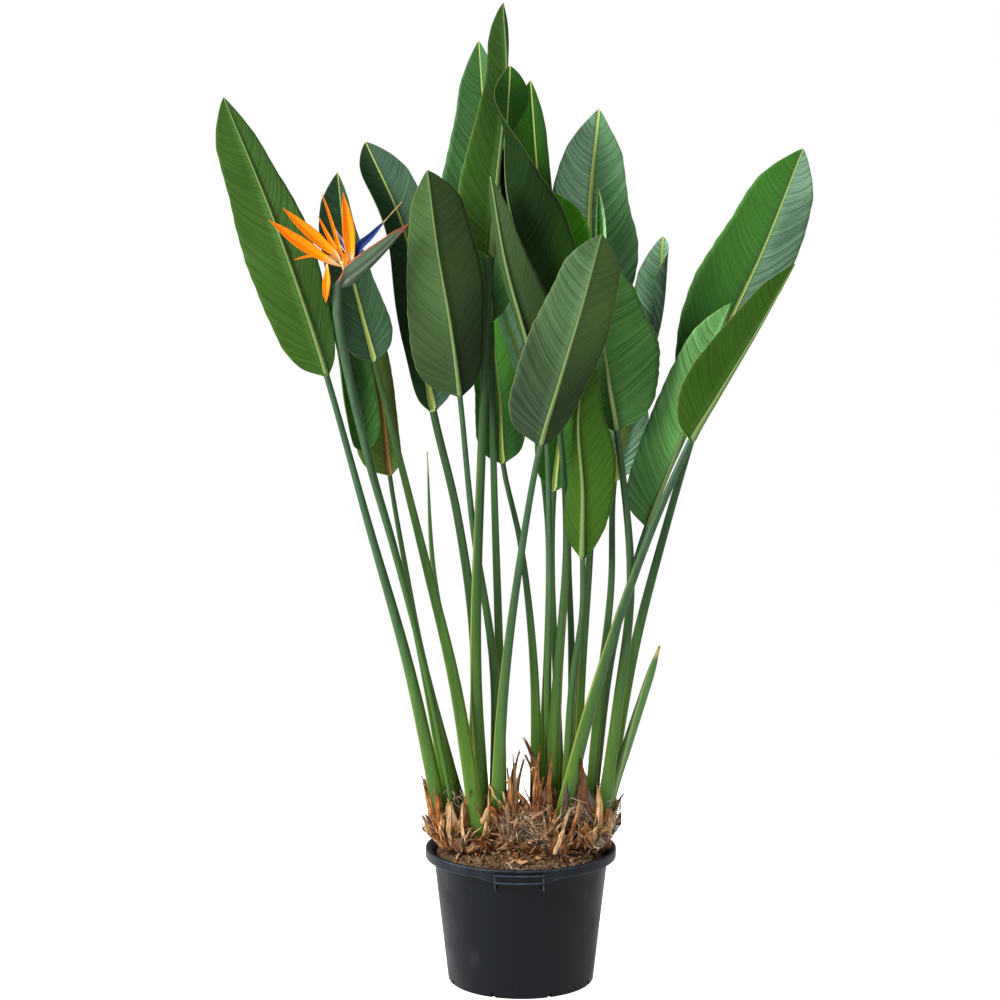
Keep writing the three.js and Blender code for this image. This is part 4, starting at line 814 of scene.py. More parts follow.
def rootstock_part(crown, rng):
    """The lumpy rootstock as a closed skin with a rough, fibrous face."""
    rows, columns = ROOTSTOCK_GRID
    level = np.linspace(0, 1, rows)
    height = along([h for h, _ in CROWN_LEVELS], level)
    share = along([s for _, s in CROWN_LEVELS], level)
    angle = np.linspace(0, 2 * np.pi, columns, endpoint=False)
    rise = np.maximum(height - CROWN_WIDEST, 0) / (CROWN_TOP - CROWN_WIDEST)
    cx, cy = metres(crown["centre"])
    half_x, half_y = metres(crown["half"])
    step = level * (len(CROWN_LEVELS) - 1)
    broad = 0.05 * np.sin(3 * angle + cx * 1000)[None]
    lump = 0.97 + broad + 0.035 * np.sin(7 * angle[None] + 2 * step[:, None])
    lump = lump + 0.022 * roughness_grid(rng, rows, columns, 1)
    x = cx + metres(crown["lean"]) * rise[:, None] + half_x * share[:, None] * lump * np.cos(angle)
    y = cy + half_y * share[:, None] * lump * np.sin(angle)
    z = height[:, None] + rise[:, None] * 0.008 * np.sin(2 * angle + cx * 1000) + 0 * x
    x, y = within_pot(x, y, z)
    return skin(np.stack([x, y, z], -1), up=level[:, None], tone=0.2)


def husk_part(rng, x, y, bearing, width, height, lean):
    """A dry leaf base: a bowed, creased sheet that narrows to a torn tip."""
    x, y, width, height = metres((x, y, width, height))
    rows, columns = HUSK_GRID
    out = facing(np.array(float(bearing)))
    across = np.cross(UP, out)
    share = np.linspace(0, 1, rows)[:, None]
    c = np.linspace(-1, 1, columns)[None]
    torn = 0.3 * rng.uniform(0, 1, columns) * np.abs(c[0]) ** 0.5
    own = share * (1 - torn[None])
    half = width / 2 * along([0.9, 1.02, 0.86, 0.52, 0.12], own)
    sway = rng.normal(0, 0.06) * height
    crease = rng.uniform(0, 6)
    flick = rng.uniform(-0.4, 1.0) * 0.3 * height
    depth = -HUSK_BOW * half * c * c + 0.0013 * np.sin(c * 8 + crease + 2 * own) * (0.3 + own)
    depth = depth + lean * height * own ** 2 + flick * np.clip(own - 0.72, 0, 1) ** 2 * 4
    side = c * half + sway * own ** 2 + 0.0012 * np.sin(own * 17 + crease)
    base = np.array([x, y, HUSK_FOOT]) + across * side[..., None]
    layers = [base + out * (depth + offset)[..., None] + UP * (height * own)[..., None]
              for offset in (HUSK_THICKNESS / 2, -HUSK_THICKNESS / 2)]
    ring_c = round_ring(c, c)
    return skin(round_ring(*layers), 1, (share * height, ring_c * width / 2), up=share,
                tone=rng.uniform(0, 1), edge=np.abs(ring_c))


def strip_part(rng, points, face, width, tone, twist, bow=0.5, grid=STRIP_GRID):
    """A torn strip of dry sheath along points: bowed, creased, twisted, with a ragged end."""
    rows, columns = grid
    line = Midline(points)
    share = np.linspace(0, 1, rows)[:, None]
    c = np.linspace(-1, 1, columns)[None]
    own = share * (1 - STRIP_TORN * rng.uniform(0, 1, columns)[None] * (0.3 + 0.7 * np.abs(c)))
    centre, across, out = line.frame(own, steady(face, own))
    angle = np.radians(rng.normal(0, 25) + twist * rng.choice([-1, 1]) * own)[..., None]
    side, top = across * np.cos(angle) + out * np.sin(angle), out * np.cos(angle) - across * np.sin(angle)
    half = width / 2 * along([0.7, 1, 0.95, 0.7, 0.25], own)
    crease = rng.uniform(0, 6)
    depth = -bow * half * c * c + STRIP_CREASE * np.sin(c * 6 + crease + 3 * own) * (0.4 + own)
    middle = centre + side * (c * half + STRIP_CREASE * np.sin(own * 15 + crease))[..., None]
    layers = [middle + top * (depth + offset)[..., None]
              for offset in (HUSK_THICKNESS / 2, -HUSK_THICKNESS / 2)]
    ring_c = round_ring(c, c)
    return skin(settled(round_ring(*layers)), 1, (share * line.length, ring_c * width / 2),
                up=0.4 + 0.6 * share, tone=tone, edge=np.abs(ring_c))


def sheath_lips(rng, spec):
    """Torn edges of old sheaths round the foot of one stalk."""
    foot, upper = metres(spec["stalk"][:2])
    way = unit(upper - foot)
    size = metres(spec["stem"][0]) / 2
    parts = []
    for k in range(LIPS):
        turn = rng.uniform(0, 2 * np.pi)
        round_it = np.array([np.cos(turn), np.sin(turn), 0])
        height = rng.uniform(0.025, 0.085) * (1.4 if k == 0 else 1)
        start = foot + round_it * size * np.array([1, 0.75, 0]) - way * 0.012
        middle = start + way * height * 0.55 + round_it * 0.003
        end = start + way * height + round_it * rng.uniform(0.001, 0.013) + rng.normal(0, 0.004, 3)
        parts.append(strip_part(rng, [start, middle, end], round_it, rng.uniform(0.008, 0.02),
                                rng.uniform(0.2, 1.0), rng.uniform(0, 60), 0.8))
    return parts


def bundle_parts(rng, foot, length, fan, count, tone):
    """Narrow shreds that fan out from one foot and bend every way."""
    foot, length = metres(foot), metres(length)
    parts = []
    for _ in range(count):
        side = np.radians(rng.normal(0, fan))
        front = np.radians(rng.normal(8, fan * 0.6))
        way = unit(np.array([np.sin(side), -np.sin(front), np.cos(side) * np.cos(front)]))
        size = length * rng.uniform(0.35, 1.0)
        start = foot + rng.normal(0, 1, 3) * np.array([0.006, 0.004, 0.002])
        middle = start + way * size * 0.55 + rng.normal(0, 0.002, 3)
        end = start + way * size + np.array([np.sin(side) * 0.3, -0.15, -0.1]) * size * rng.uniform(0, 1)
        away = np.array([0.3 * np.sin(side), -1, 0]) * np.sign(-foot[1])
        width = 0.0022 + 0.008 * rng.uniform(0, 1) ** 2
        age = np.clip(rng.normal(tone, 0.25), 0, 1.1)
        parts.append(strip_part(rng, [start, middle, end], away, width, age, rng.uniform(0, 90), 0.6))
    return parts


def torn_litter(rng, crown, count):
    """Short torn strips that stand and lie all over the crown."""
    cx, cy = metres(crown["centre"])
    half_x, half_y = metres(crown["half"])
    parts = []
    for _ in range(count):
        turn = rng.uniform(0, 2 * np.pi)
        share = rng.uniform(0.7, 1.05)
        away = np.array([np.cos(turn), np.sin(turn), 0])
        height = rng.uniform(0.232, 0.285)
        start = np.array([cx + half_x * share * away[0], cy + half_y * share * away[1], height])
        lean = away * rng.uniform(-0.3, 0.9) + rng.normal(0, 0.45, 3)
        lean = unit(lean + np.array([0, 0, rng.uniform(0.3, 1.6)]))
        length = rng.uniform(0.015, 0.06)
        middle = start + lean * length / 2 + away * rng.uniform(0, 0.006)
        end = start + lean * length
        parts.append(strip_part(rng, [start, middle, end], away, rng.uniform(0.003, 0.013),
                                rng.uniform(0.1, 1.0), rng.uniform(0, 110)))
    return parts


def strand_part(path, radius, tone, sides=3, flat=1.0, slot=2):
    """A thin strand along points, round or flattened, drawn in at both ends."""
    path = np.asarray(path, float)
    way = unit(np.gradient(path, axis=0))
    side = unit(np.cross(way, np.array([0.13, 0.21, 1.0])))
    top = np.cross(side, way)
    share = np.linspace(0, 1, len(path))
    size = radius * (0.3 + 0.7 * np.sin(np.pi * np.clip(share, 0.06, 0.94)) ** 0.5)
    angle = 2 * np.pi * np.arange(sides) / sides
    rings = (path[:, None] + side[:, None] * (size[:, None] * np.cos(angle))[..., None]
             - top[:, None] * (size[:, None] * np.sin(angle) * flat)[..., None])
    return skin(rings, slot, up=share[:, None], tone=tone)


def wandering(rng, start, end, wander, steps=9):
    """A line between two points that strays by about the wander."""
    share = np.linspace(0, 1, steps)[:, None]
    path = np.array(start) * (1 - share) + np.array(end) * share
    for wave in (1, 2, 3):
        path = path + np.sin(wave * np.pi * share) * rng.normal(0, wander / wave, 3)
    return path


def fibre_parts(rng, crown, count):
    """Loose fibres over the rootstock's flanks, most of them hanging down to the soil."""
    cx, cy = metres(crown["centre"])
    half_x, half_y = metres(crown["half"])
    parts = []
    for _ in range(count):
        angle = rng.uniform(0, 2 * np.pi)
        turn = angle + rng.normal(0, 0.5)
        top = rng.uniform(0.232, 0.335)
        low = top - rng.uniform(0.02, 0.095)
        shares = (0.96 - 3.2 * max(top - 0.262, 0), rng.uniform(0.85, 1.16) - 3.0 * max(low - 0.262, 0))
        ends = []
        for way, height, share in ((angle, top, shares[0]), (turn, max(low, 0.222), shares[1])):
            x, y = cx + half_x * share * math.cos(way), cy + half_y * share * math.sin(way)
            ends.append((*within_pot(x, y, height), height))
        path = wandering(rng, ends[0], ends[1], 0.006)
        px, py = within_pot(path[:, 0], path[:, 1], path[:, 2])
        path = np.stack([px, py, np.maximum(path[:, 2], 0.219)], -1)
        parts.append(strand_part(path, rng.uniform(0.00035, 0.0009), rng.uniform(0, 1)))
    return parts


def tangle_parts(rng, middle, size, count):
    """A mat of fine roots and fibres that cross each other."""
    middle, size = metres(middle), metres(size)
    parts = []
    for _ in range(count):
        ends = []
        for _ in range(2):
            spot = unit(rng.normal(0, 1, 3)) * size * rng.uniform(0.5, 1.0)
            spot[1] = -abs(spot[1])
            ends.append(middle + spot)
        gap = ends[1] - ends[0]
        ends[1] = ends[0] + gap * min(1, 0.06 / max(np.linalg.norm(gap), 1e-9))
        path = wandering(rng, ends[0], ends[1], 0.007, 11)
        radius = 0.0004 + 0.0011 * rng.uniform(0, 1) ** 3
        parts.append(strand_part(settled(path), radius, rng.uniform(0.1, 1.0), 4))
    return parts


# Soil

def flat_husk_part(rng):
    """A scrap of husk that lies on the soil near the crowns."""
    turn = rng.uniform(0, 2 * np.pi)
    radius = rng.uniform(0.05, 0.125)
    middle = np.array([radius * np.cos(turn), radius * np.sin(turn) * 0.95, 0])
    way = facing(rng.uniform(0, 360)) * rng.uniform(0.006, 0.022)
    points = [middle - way, middle + rng.normal(0, 0.003, 3), middle + way]
    for point, rise in zip(points, (0.001, 0.004, rng.uniform(0.002, 0.012))):
        point[2] = soil_height(point[0], point[1]) + rise
    return strip_part(rng, points, (0, -0.3, 1), rng.uniform(0.003, 0.012), rng.uniform(0, 1) ** 1.3,
                      rng.uniform(0, 70))


def straw_part(rng, x, y, bearing, length, width, tone):
    """A flat dry straw that lies on the soil."""
    x, y, length, width = metres((x, y, length, width))
    way = facing(np.array(float(bearing)))
    half = way * length / 2
    path = wandering(rng, (x - half[0], y - half[1], 0), (x + half[0], y + half[1], 0), length * 0.03)
    path[:, 2] = soil_height(path[:, 0], path[:, 1]) + 0.0022
    return strand_part(path, width / 2, tone, 6, 0.3, 0)


def soil_height(x, y):
    radius = np.hypot(x, y)
    return SOIL_EDGE + SOIL_RISE * (1 - np.minimum(radius / SOIL_SPREAD, 1) ** 2)


def wall_inside(z):
    """The pot's inner radius at a height."""
    return BASE_RADIUS - WALL_THICKNESS + WALL_LEAN * (z - BASE_ROUNDING)


def soil_part(rng):
    """The soil: it fills the pot, and its top is crumbly and rises a little to its middle."""
    columns = 180
    angle = np.linspace(0, 2 * np.pi, columns, endpoint=False)
    side_heights = np.linspace(BASE_ROUNDING + 0.0004, SOIL_EDGE, 6)
    rings = []
    for z in side_heights:
        radius = wall_inside(z) - SOIL_GAP
        rings.append(np.stack([radius * np.cos(angle), radius * np.sin(angle), np.full(columns, z)], -1))
    shares = np.linspace(0.985, 0.02, 64)
    lump = roughness_grid(rng, len(shares), columns, 2) * 0.0012
    lump = lump + roughness_grid(rng, len(shares), columns, 0) * 0.0005
    reach_out = wall_inside(SOIL_EDGE) - SOIL_GAP
    for i, share in enumerate(shares):
        radius = reach_out * share
        x, y = radius * np.cos(angle), radius * np.sin(angle)
        fade = min(share / 0.2, 1)
        rings.append(np.stack([x, y, soil_height(x, y) + lump[i] * fade - 0.0005], -1))
    return skin(np.array(rings), tone=0.2)


def crumb_shape():
    """A twelve-cornered lump."""
    g = (1 + 5 ** 0.5) / 2
    corners = [(-1, g, 0), (1, g, 0), (-1, -g, 0), (1, -g, 0), (0, -1, g), (0, 1, g),
               (0, -1, -g), (0, 1, -g), (g, 0, -1), (g, 0, 1), (-g, 0, -1), (-g, 0, 1)]
    faces = [(0, 11, 5), (0, 5, 1), (0, 1, 7), (0, 7, 10), (0, 10, 11), (1, 5, 9), (5, 11, 4),
             (11, 10, 2), (10, 7, 6), (7, 1, 8), (3, 9, 4), (3, 4, 2), (3, 2, 6), (3, 6, 8),
             (3, 8, 9), (4, 9, 5), (2, 4, 11), (6, 2, 10), (8, 6, 7), (9, 8, 1)]
    return np.array(corners) / np.linalg.norm(corners[0]), np.array(faces)


def scattered(rng, count, places, sizes, tilt):
    """Copies of the lump, each knocked out of shape, turned and set down."""
    shape, faces = crumb_shape()
    about = rng.uniform(0, 2 * np.pi, count)
    lean, roll = rng.normal(0, tilt, (2, count))
    knocked = shape[None] * rng.uniform(0.65, 1.15, (count, 12, 1)) * sizes[:, None, :]
    x, y, z = knocked[..., 0], knocked[..., 1], knocked[..., 2]
    cr, sr, cl, sl, ca, sa = (f(v)[:, None] for v in (roll, lean, about) for f in (np.cos, np.sin))
    y, z = y * cr - z * sr, y * sr + z * cr
    x, z = x * cl + z * sl, -x * sl + z * cl
    x, y = x * ca - y * sa, x * sa + y * ca
    points = np.stack([x, y, z], -1) + places[:, None, :]
    index = faces[None] + (np.arange(count) * 12)[:, None, None]
    return points.reshape(-1, 3), index.reshape(-1, 3)


def on_soil(rng, count):
    """Places spread over the soil's top."""
    radius = CRUMB_REACH * np.sqrt(rng.uniform(0, 1, count))
    angle = rng.uniform(0, 2 * np.pi, count)
    x, y = radius * np.cos(angle), radius * np.sin(angle)
    return np.stack([x, y, soil_height(x, y)], -1)


# Pot

def rounded(profile, rounding, steps):
    """The profile with its corners rounded where the rounding is over zero."""
    made = []
    count = len(profile)
    for i, (point, radius) in enumerate(zip(profile, rounding)):
        here = np.array(point, float)
        if radius <= 0 or i in (0, count - 1):
            made.append(here)
            continue
        before = unit(np.array(profile[i - 1], float) - here)
        after = unit(np.array(profile[i + 1], float) - here)
        for k in range(steps + 1):
            s = k / steps
            a, b = here + before * radius, here + after * radius
            made.append((1 - s) ** 2 * a + 2 * s * (1 - s) * here + s * s * b)
    return np.array(made)


def pot_columns():
    """The angles of the pot's upright lines: even ones, and a pair at each side of each notch."""
    even = np.linspace(0, 2 * np.pi, POT_COLUMNS, endpoint=False)
    half = math.asin(NOTCH_WIDTH / 2 / BASE_RADIUS)
    centres = 2 * np.pi * (np.arange(NOTCHES) + 0.5) / NOTCHES
    keep = np.all(np.abs(np.mod(even[:, None] - centres[None] + np.pi, 2 * np.pi) - np.pi) > half * 1.6, 1)
    angles, inside = list(even[keep]), [False] * int(keep.sum())
    for centre in centres:
        for share, inner in ((-1.01, False), (-1, True), (0, True), (1, True), (1.01, False)):
            angles.append(np.mod(centre + half * share, 2 * np.pi))
            inside.append(inner)
    order = np.argsort(angles)
    return np.array(angles)[order], np.array(inside)[order]


def pot_part():
    """The wall, base and rim turned about the pot's axis, with drain notches at the foot."""
    top = wall_inside(RIM_BOTTOM)
    profile = [(0.0004, 0), (BASE_RADIUS - BASE_ROUNDING * 3, 0.0),
               (BASE_RADIUS, 0.0), (BASE_RADIUS + WALL_LEAN * 0.004, NOTCH_HEIGHT / 2),
               (BASE_RADIUS + WALL_LEAN * 0.0078, NOTCH_HEIGHT - 0.0002),
               (BASE_RADIUS + WALL_LEAN * 0.0082, NOTCH_HEIGHT + 0.0002), (WALL_TOP_RADIUS, RIM_BOTTOM),
               (RIM_RADIUS, RIM_BOTTOM), (RIM_RADIUS, RIM_TOP), (RIM_RADIUS - RIM_LIP, RIM_TOP),
               (top + WALL_THICKNESS, RIM_TOP - RIM_LIP), (top, RIM_BOTTOM),
               (wall_inside(BASE_ROUNDING), BASE_ROUNDING), (0.0004, BASE_ROUNDING)]
    rounding = [0, 0, BASE_ROUNDING * 0.8, 0, 0, 0, 0.0015, 0.002, 0.003, 0.003, 0.002, 0.004, 0.002, 0]
    line = rounded(profile, rounding, 6)
    wall = []
    for a, b in zip(line[:-1], line[1:]):
        pieces = max(int(np.linalg.norm(b - a) / 0.03), 1)
        wall.extend(a + (b - a) * k / pieces for k in range(pieces))
    wall = np.array(wall + [line[-1]])
    angles, inside = pot_columns()
    radius = np.repeat(wall[:, :1], len(angles), 1)
    cut = inside[None] & (wall[:, 1:] < NOTCH_HEIGHT) & (radius > BASE_RADIUS - NOTCH_DEPTH)
    cut[len(wall) // 2:] = False
    radius = np.where(cut, BASE_RADIUS - NOTCH_DEPTH, radius)
    z = np.repeat(wall[:, 1:], len(angles), 1)
    rings = np.stack([radius * np.cos(angles), radius * np.sin(angles), z], -1)
    up = np.clip(z / RIM_TOP, 0, 1)
    # Painted highlights along the rim's top and lower edges.
    worn = np.exp(-((z - RIM_TOP + 0.0012) / 0.0014) ** 2) * (radius > RIM_RADIUS - 0.0025)
    worn = worn + 0.7 * np.exp(-((z - RIM_BOTTOM - 0.0008) / 0.001) ** 2) * (radius > RIM_RADIUS - 0.002)
    return skin(rings, up=up, worn=0.65 * worn)


def ledge_part(turn):
    """The grip under the rim: two lips with a shallow groove between them, square at both ends."""
    low, high, front, root = GRIP_BOTTOM, GRIP_TOP, GRIP_REACH, GRIP_ROOT
    section = [(root, high), (root, low), (front - 0.002, low), (front, low), (front, low + 0.0032),
               (front - 0.0012, low + 0.0042), (front - 0.0012, high - 0.0042), (front, high - 0.0032),
               (front, high), (front - 0.002, high)]
    rounding = [0, 0, 0, 0.0008, 0.0004, 0.0004, 0.0004, 0.0004, 0.0008, 0]
    line = rounded(section, rounding, 3)
    shares = np.concatenate([[-1, -0.985], np.linspace(-0.95, 0.95, 30), [0.985, 1]])
    rings = []
    for share in shares:
        radius = line[:, 0] - (0.0006 if abs(share) == 1 else 0)
        angle = share * np.arcsin(GRIP_HALF_WIDTH / radius)
        x, y = radius * np.sin(angle), -radius * np.cos(angle)
        rings.append(np.stack([x, y, line[:, 1]], -1))
    rings = turned(np.array(rings), turn)
    z = rings[..., 2]
    # Painted highlights along the ledge's two lips.
    worn = np.exp(-((z - high + 0.0006) / 0.001) ** 2) + np.exp(-((z - low - 0.0028) / 0.0009) ** 2)
    worn = worn * (np.hypot(rings[..., 0], rings[..., 1]) > front - 0.0018)
    return skin(rings, worn=worn)


def fin_part(left, turn):
    """A thin rib across one end of the ledge that runs down the wall as a three-cornered fin."""
    wall = GRIP_ROOT * math.cos(math.asin(GRIP_HALF_WIDTH / GRIP_ROOT))
    front = GRIP_REACH * math.cos(math.asin(GRIP_HALF_WIDTH / GRIP_REACH)) - 0.001
    side = [(wall - 0.0015, GRIP_FIN_FOOT), (wall + 0.003, GRIP_FIN_FOOT), (front, GRIP_BOTTOM + 0.001),
            (front + GRIP_FIN_PROUD, GRIP_BOTTOM + 0.003), (front + GRIP_FIN_PROUD, GRIP_TOP - 0.0015),
            (front - 0.004, GRIP_TOP + 0.0005), (wall - 0.0015, GRIP_BOTTOM + 0.001)]
    line = rounded(side + [side[0]], [0, 0.001, 0.001, 0.0008, 0.0008, 0.0008, 0, 0], 3)[:-1]
    x0 = -GRIP_HALF_WIDTH if left else GRIP_HALF_WIDTH - GRIP_FIN
    rings = np.array([np.stack([np.full(len(line), x0 + GRIP_FIN * s), -line[:, 0], line[:, 1]], -1)
                      for s in (0, 0.12, 0.5, 0.88, 1)])
    rings = turned(rings, turn)
    # Painted highlight on the fin's front.
    return skin(rings, up=0.9, worn=np.where(line[:, 0] > wall, 0.6, 0.0))


def gusset_part(side, turn):
    """The rim's lower edge where it deepens towards one end of the ledge; side is -1 or 1."""
    rings = []
    front, high = RIM_RADIUS - 0.0003, RIM_BOTTOM + 0.001
    for share in np.linspace(0, 1, 12):
        low = min(lerp(GRIP_BOTTOM, RIM_BOTTOM, share), RIM_BOTTOM - 0.0002)
        radius = np.array([GRIP_ROOT, GRIP_ROOT, front - 0.001, front, front])
        angle = side * np.arcsin((GRIP_HALF_WIDTH - 0.001 + share * GUSSET_LENGTH) / radius)
        heights = (high, low, low, low + 0.001, high)
        rings.append(np.stack([radius * np.sin(angle), -radius * np.cos(angle), heights], -1))
    # Painted highlight along the gusset's lower edge.
    return skin(turned(np.array(rings), turn), worn=(0, 0, 0.5, 0.2, 0))


def turned(rings, degrees):
    c, s = math.cos(math.radians(degrees)), math.sin(math.radians(degrees))
    return rings @ np.array([[c, s, 0], [-s, c, 0], [0, 0, 1]])


# Materials

SHEEN_TINT = (0.6, 0.82, 1.0)
THROUGH_RADIUS = (0.3, 1.0, 0.1)
THROUGH_SCALE = 0.002


class Finish:
    """A material being made: one Principled shader, the colour so far, and calls for the nodes."""

    def __init__(self, name, roughness, specular, tint=(1, 1, 1), through=0.0, colour=None):
        self.material = bpy.data.materials.new(name)
        self.material.use_nodes = True
        self.tree = self.material.node_tree
        self.shader = self.tree.nodes["Principled BSDF"]
        self.colour = colour
        self.set({"Roughness": roughness, "Specular IOR Level": specular, "Specular Tint": tint,
                  "Subsurface Weight": through, "Subsurface Radius": THROUGH_RADIUS,
                  "Subsurface Scale": THROUGH_SCALE})

    def set(self, inputs, node=None):
        """Feeds inputs of a node, or of the shader: links an output, or sets the socket to a plain value."""
        fed = self.shader if node is None else node
        for key, value in inputs.items():
            socket = fed.inputs[key]
            if isinstance(value, bpy.types.NodeSocket):
                self.tree.links.new(value, socket)
            elif value is not None:
                socket.default_value = (*value, 1) if socket.type == "RGBA" else value

    def node(self, kind, inputs, output=0, **settings):
        """One output of a new node."""
        made = self.tree.nodes.new("ShaderNode" + kind)
        for key, value in settings.items():
            setattr(made, key, value)
        self.set(inputs, made)
        return made.outputs[output]

    def uv(self):
        return self.node("UVMap", {}, uv_map="Vein")

    def place(self):
        return self.node("TexCoord", {}, "Object")

    def value(self, name):
        return self.node("Attribute", {}, "Fac", attribute_name=name)

    def noise(self, vector, scale, detail=2.0, rough=0.5, shift=(0, 0, 0)):
        """Noise of one scale, or stretched by a scale for each axis and moved by the shift."""
        if isinstance(scale, tuple):
            vector = self.node("VectorMath", {0: vector, 1: scale, 2: shift}, operation="MULTIPLY_ADD")
            scale = 1.0
        return self.node("TexNoise", {"Vector": vector, "Scale": scale, "Detail": detail,
                                      "Roughness": rough})

    def maths(self, operation, a, b=None):
        return self.node("Math", {0: a, 1: b}, operation=operation)

    def times(self, a, b):
        return self.maths("MULTIPLY", a, b)

    def span(self, value, low, high, to_low=0.0, to_high=1.0, curve="SMOOTHSTEP"):
        """Maps a value from one range to another, held at its ends."""
        return self.node("MapRange", {"Value": value, "From Min": low, "From Max": high, "To Min": to_low,
                                      "To Max": to_high}, interpolation_type=curve)

    def brighter(self, colour, factor):
        return self.node("VectorMath", {0: colour, "Scale": factor}, operation="SCALE")

    def ramp(self, value, stops):
        """Takes the colour from (place, colour) stops."""
        made = self.tree.nodes.new("ShaderNodeValToRGB")
        self.set({"Fac": value}, made)
        elements = made.color_ramp.elements
        while len(elements) < len(stops):
            elements.new(0.5)
        for element, (spot, colour) in zip(elements, stops):
            element.position = spot
            element.color = (*colour, 1)
        self.colour = made.outputs["Color"]

    def shade(self, value, low, high):
        """Makes the colour darker or lighter by a grey value."""
        self.colour = self.brighter(self.colour, self.span(value, 0.0, 1.0, low, high, "LINEAR"))

    def cover(self, share, colour):
        """Lays another colour over the colour."""
        self.colour = self.node("Mix", {0: share, 6: self.colour, 7: colour}, 2, data_type="RGBA")

    def finish(self, relief=None, depth=0.0, strength=1.0, roughness=None):
        """The material, with a relief and a roughness of its own where they are given."""
        self.set({"Base Color": self.colour, "Roughness": roughness})
        if relief is not None:
            bump = self.node("Bump", {"Strength": strength, "Distance": depth, "Height": relief})
            self.set({"Normal": bump})
        return self.material


def spread(colour, *factors):
    """The colour with each channel times its factor, or all of them times one."""
    return tuple(min(max(c * f, 0.0), 1.0) for c, f in zip(colour, factors * 3))


def blade_finish(name, colour, rib_colour, rib_width, margin_colour, bloom, roughness, sheen):
    """A leaf blade: fine veins that run out from the midrib, broad ridges, a pale rib and a thin margin,
    with painted light and shade, a bloom with painted sheen, painted shade and highlight along the ridges
    and painted shade beside the rib.
    """
    made = Finish(name, roughness, sheen, SHEEN_TINT, colour=colour)
    vein = made.uv()
    fine = made.span(made.noise(vein, (520, 8, 1), 3, 0.6), 0.25, 0.75)
    broad = made.noise(vein, (150, 5, 1), shift=(3, 1, 0))
    made.shade(fine, 0.8, 1.2)
    made.shade(broad, 0.68, 1.32)
    # Painted shade and highlight: darker in the ridges' troughs, lighter on their crests.
    made.shade(made.span(made.value("crest"), -1.0, 1.0, curve="LINEAR"), 0.76, 1.24)
    made.shade(made.noise(made.place(), 7, 3), 0.65, 1.35)
    # Painted light and shade: the colour times the leaf's lightness value.
    lit = made.brighter(made.colour, made.value("shade"))
    # Bloom and painted sheen: a bluish layer laid on in soft streaks, as strong as the leaf's bloom value.
    hazy = made.span(made.noise(made.place(), (8, 8, 3.6), 3), 0.36, 0.68, 0.6, 1.3)
    streaked = made.times(hazy, made.span(made.maths("ADD", fine, broad), 0.6, 1.4, 0.2, 1.8, "LINEAR"))
    bloom_and_painted_sheen_layer = made.brighter(bloom, made.times(made.value("bloom"), streaked))
    made.colour = made.node("VectorMath", {0: lit, 1: bloom_and_painted_sheen_layer}, operation="ADD")
    away = made.maths("ABSOLUTE", made.node("SeparateXYZ", {"Vector": vein}, "Y"))
    away = made.maths("DIVIDE", made.maths("DIVIDE", away, made.value("rib")), RIB_FULL * rib_width)
    # Painted shade in a band beside the midrib, darkest at the rib; the pale rib colour is then laid over
    # the rib itself.
    made.shade(made.span(away, 0.9, 2.4), 0.62, 1.0)
    made.cover(made.span(away, 1.05, 0.75), rib_colour)
    made.cover(made.span(made.value("edge"), 0.985, 0.998, 0.0, 0.8), margin_colour)
    rough = made.span(broad, 0.2, 0.8, roughness - 0.06, roughness + 0.08, "LINEAR")
    return made.finish(made.maths("ADD", made.times(fine, 0.6), broad), 0.0011, 0.7, rough)


def stalk_finish(name, foot, middle, top, cool_colour, edge_colour):
    """A leaf stalk: bright at its foot, greyer up its length, with fine fibres and paler sheath edges."""
    made = Finish(name, 0.4, 0.4, SHEEN_TINT)
    grain = made.noise(made.place(), (420, 420, 7), 3)
    up = made.value("up")
    made.ramp(made.times(up, 0.5), [(0.0, foot), (0.08, foot), (0.24, middle), (0.5, top)])
    made.cover(made.times(made.value("cool"), made.span(up, 0.15, 0.8)), cool_colour)
    made.shade(grain, 0.7, 1.3)
    made.shade(made.noise(made.place(), (110, 110, 3), shift=(4, 1, 2)), 0.6, 1.4)
    made.shade(made.noise(made.place(), (26, 26, 4), 3), 0.65, 1.35)
    sheath = made.times(made.span(made.value("edge"), 0.74, 0.95), made.span(up, 0.8, 0.3, 0.0, 0.85))
    made.cover(sheath, edge_colour)
    return made.finish(grain, 0.0004, 0.5)


def petal_finish(name, stops, edge_colour, edge_from, edge_until=1.1):
    """A petal: colour along its length, a darker edge, and fine lengthwise lines."""
    made = Finish(name, 0.5, 0.15, through=0.15)
    lines = made.noise(made.uv(), (40, 900, 1))
    up = made.value("up")
    made.ramp(up, stops)
    made.shade(lines, 0.82, 1.18)
    rim = made.span(made.value("edge"), edge_from, 1.0)
    made.cover(made.times(rim, made.span(up, edge_until, edge_until - 0.05)), edge_colour)
    return made.finish(lines, 0.0004, 0.5)


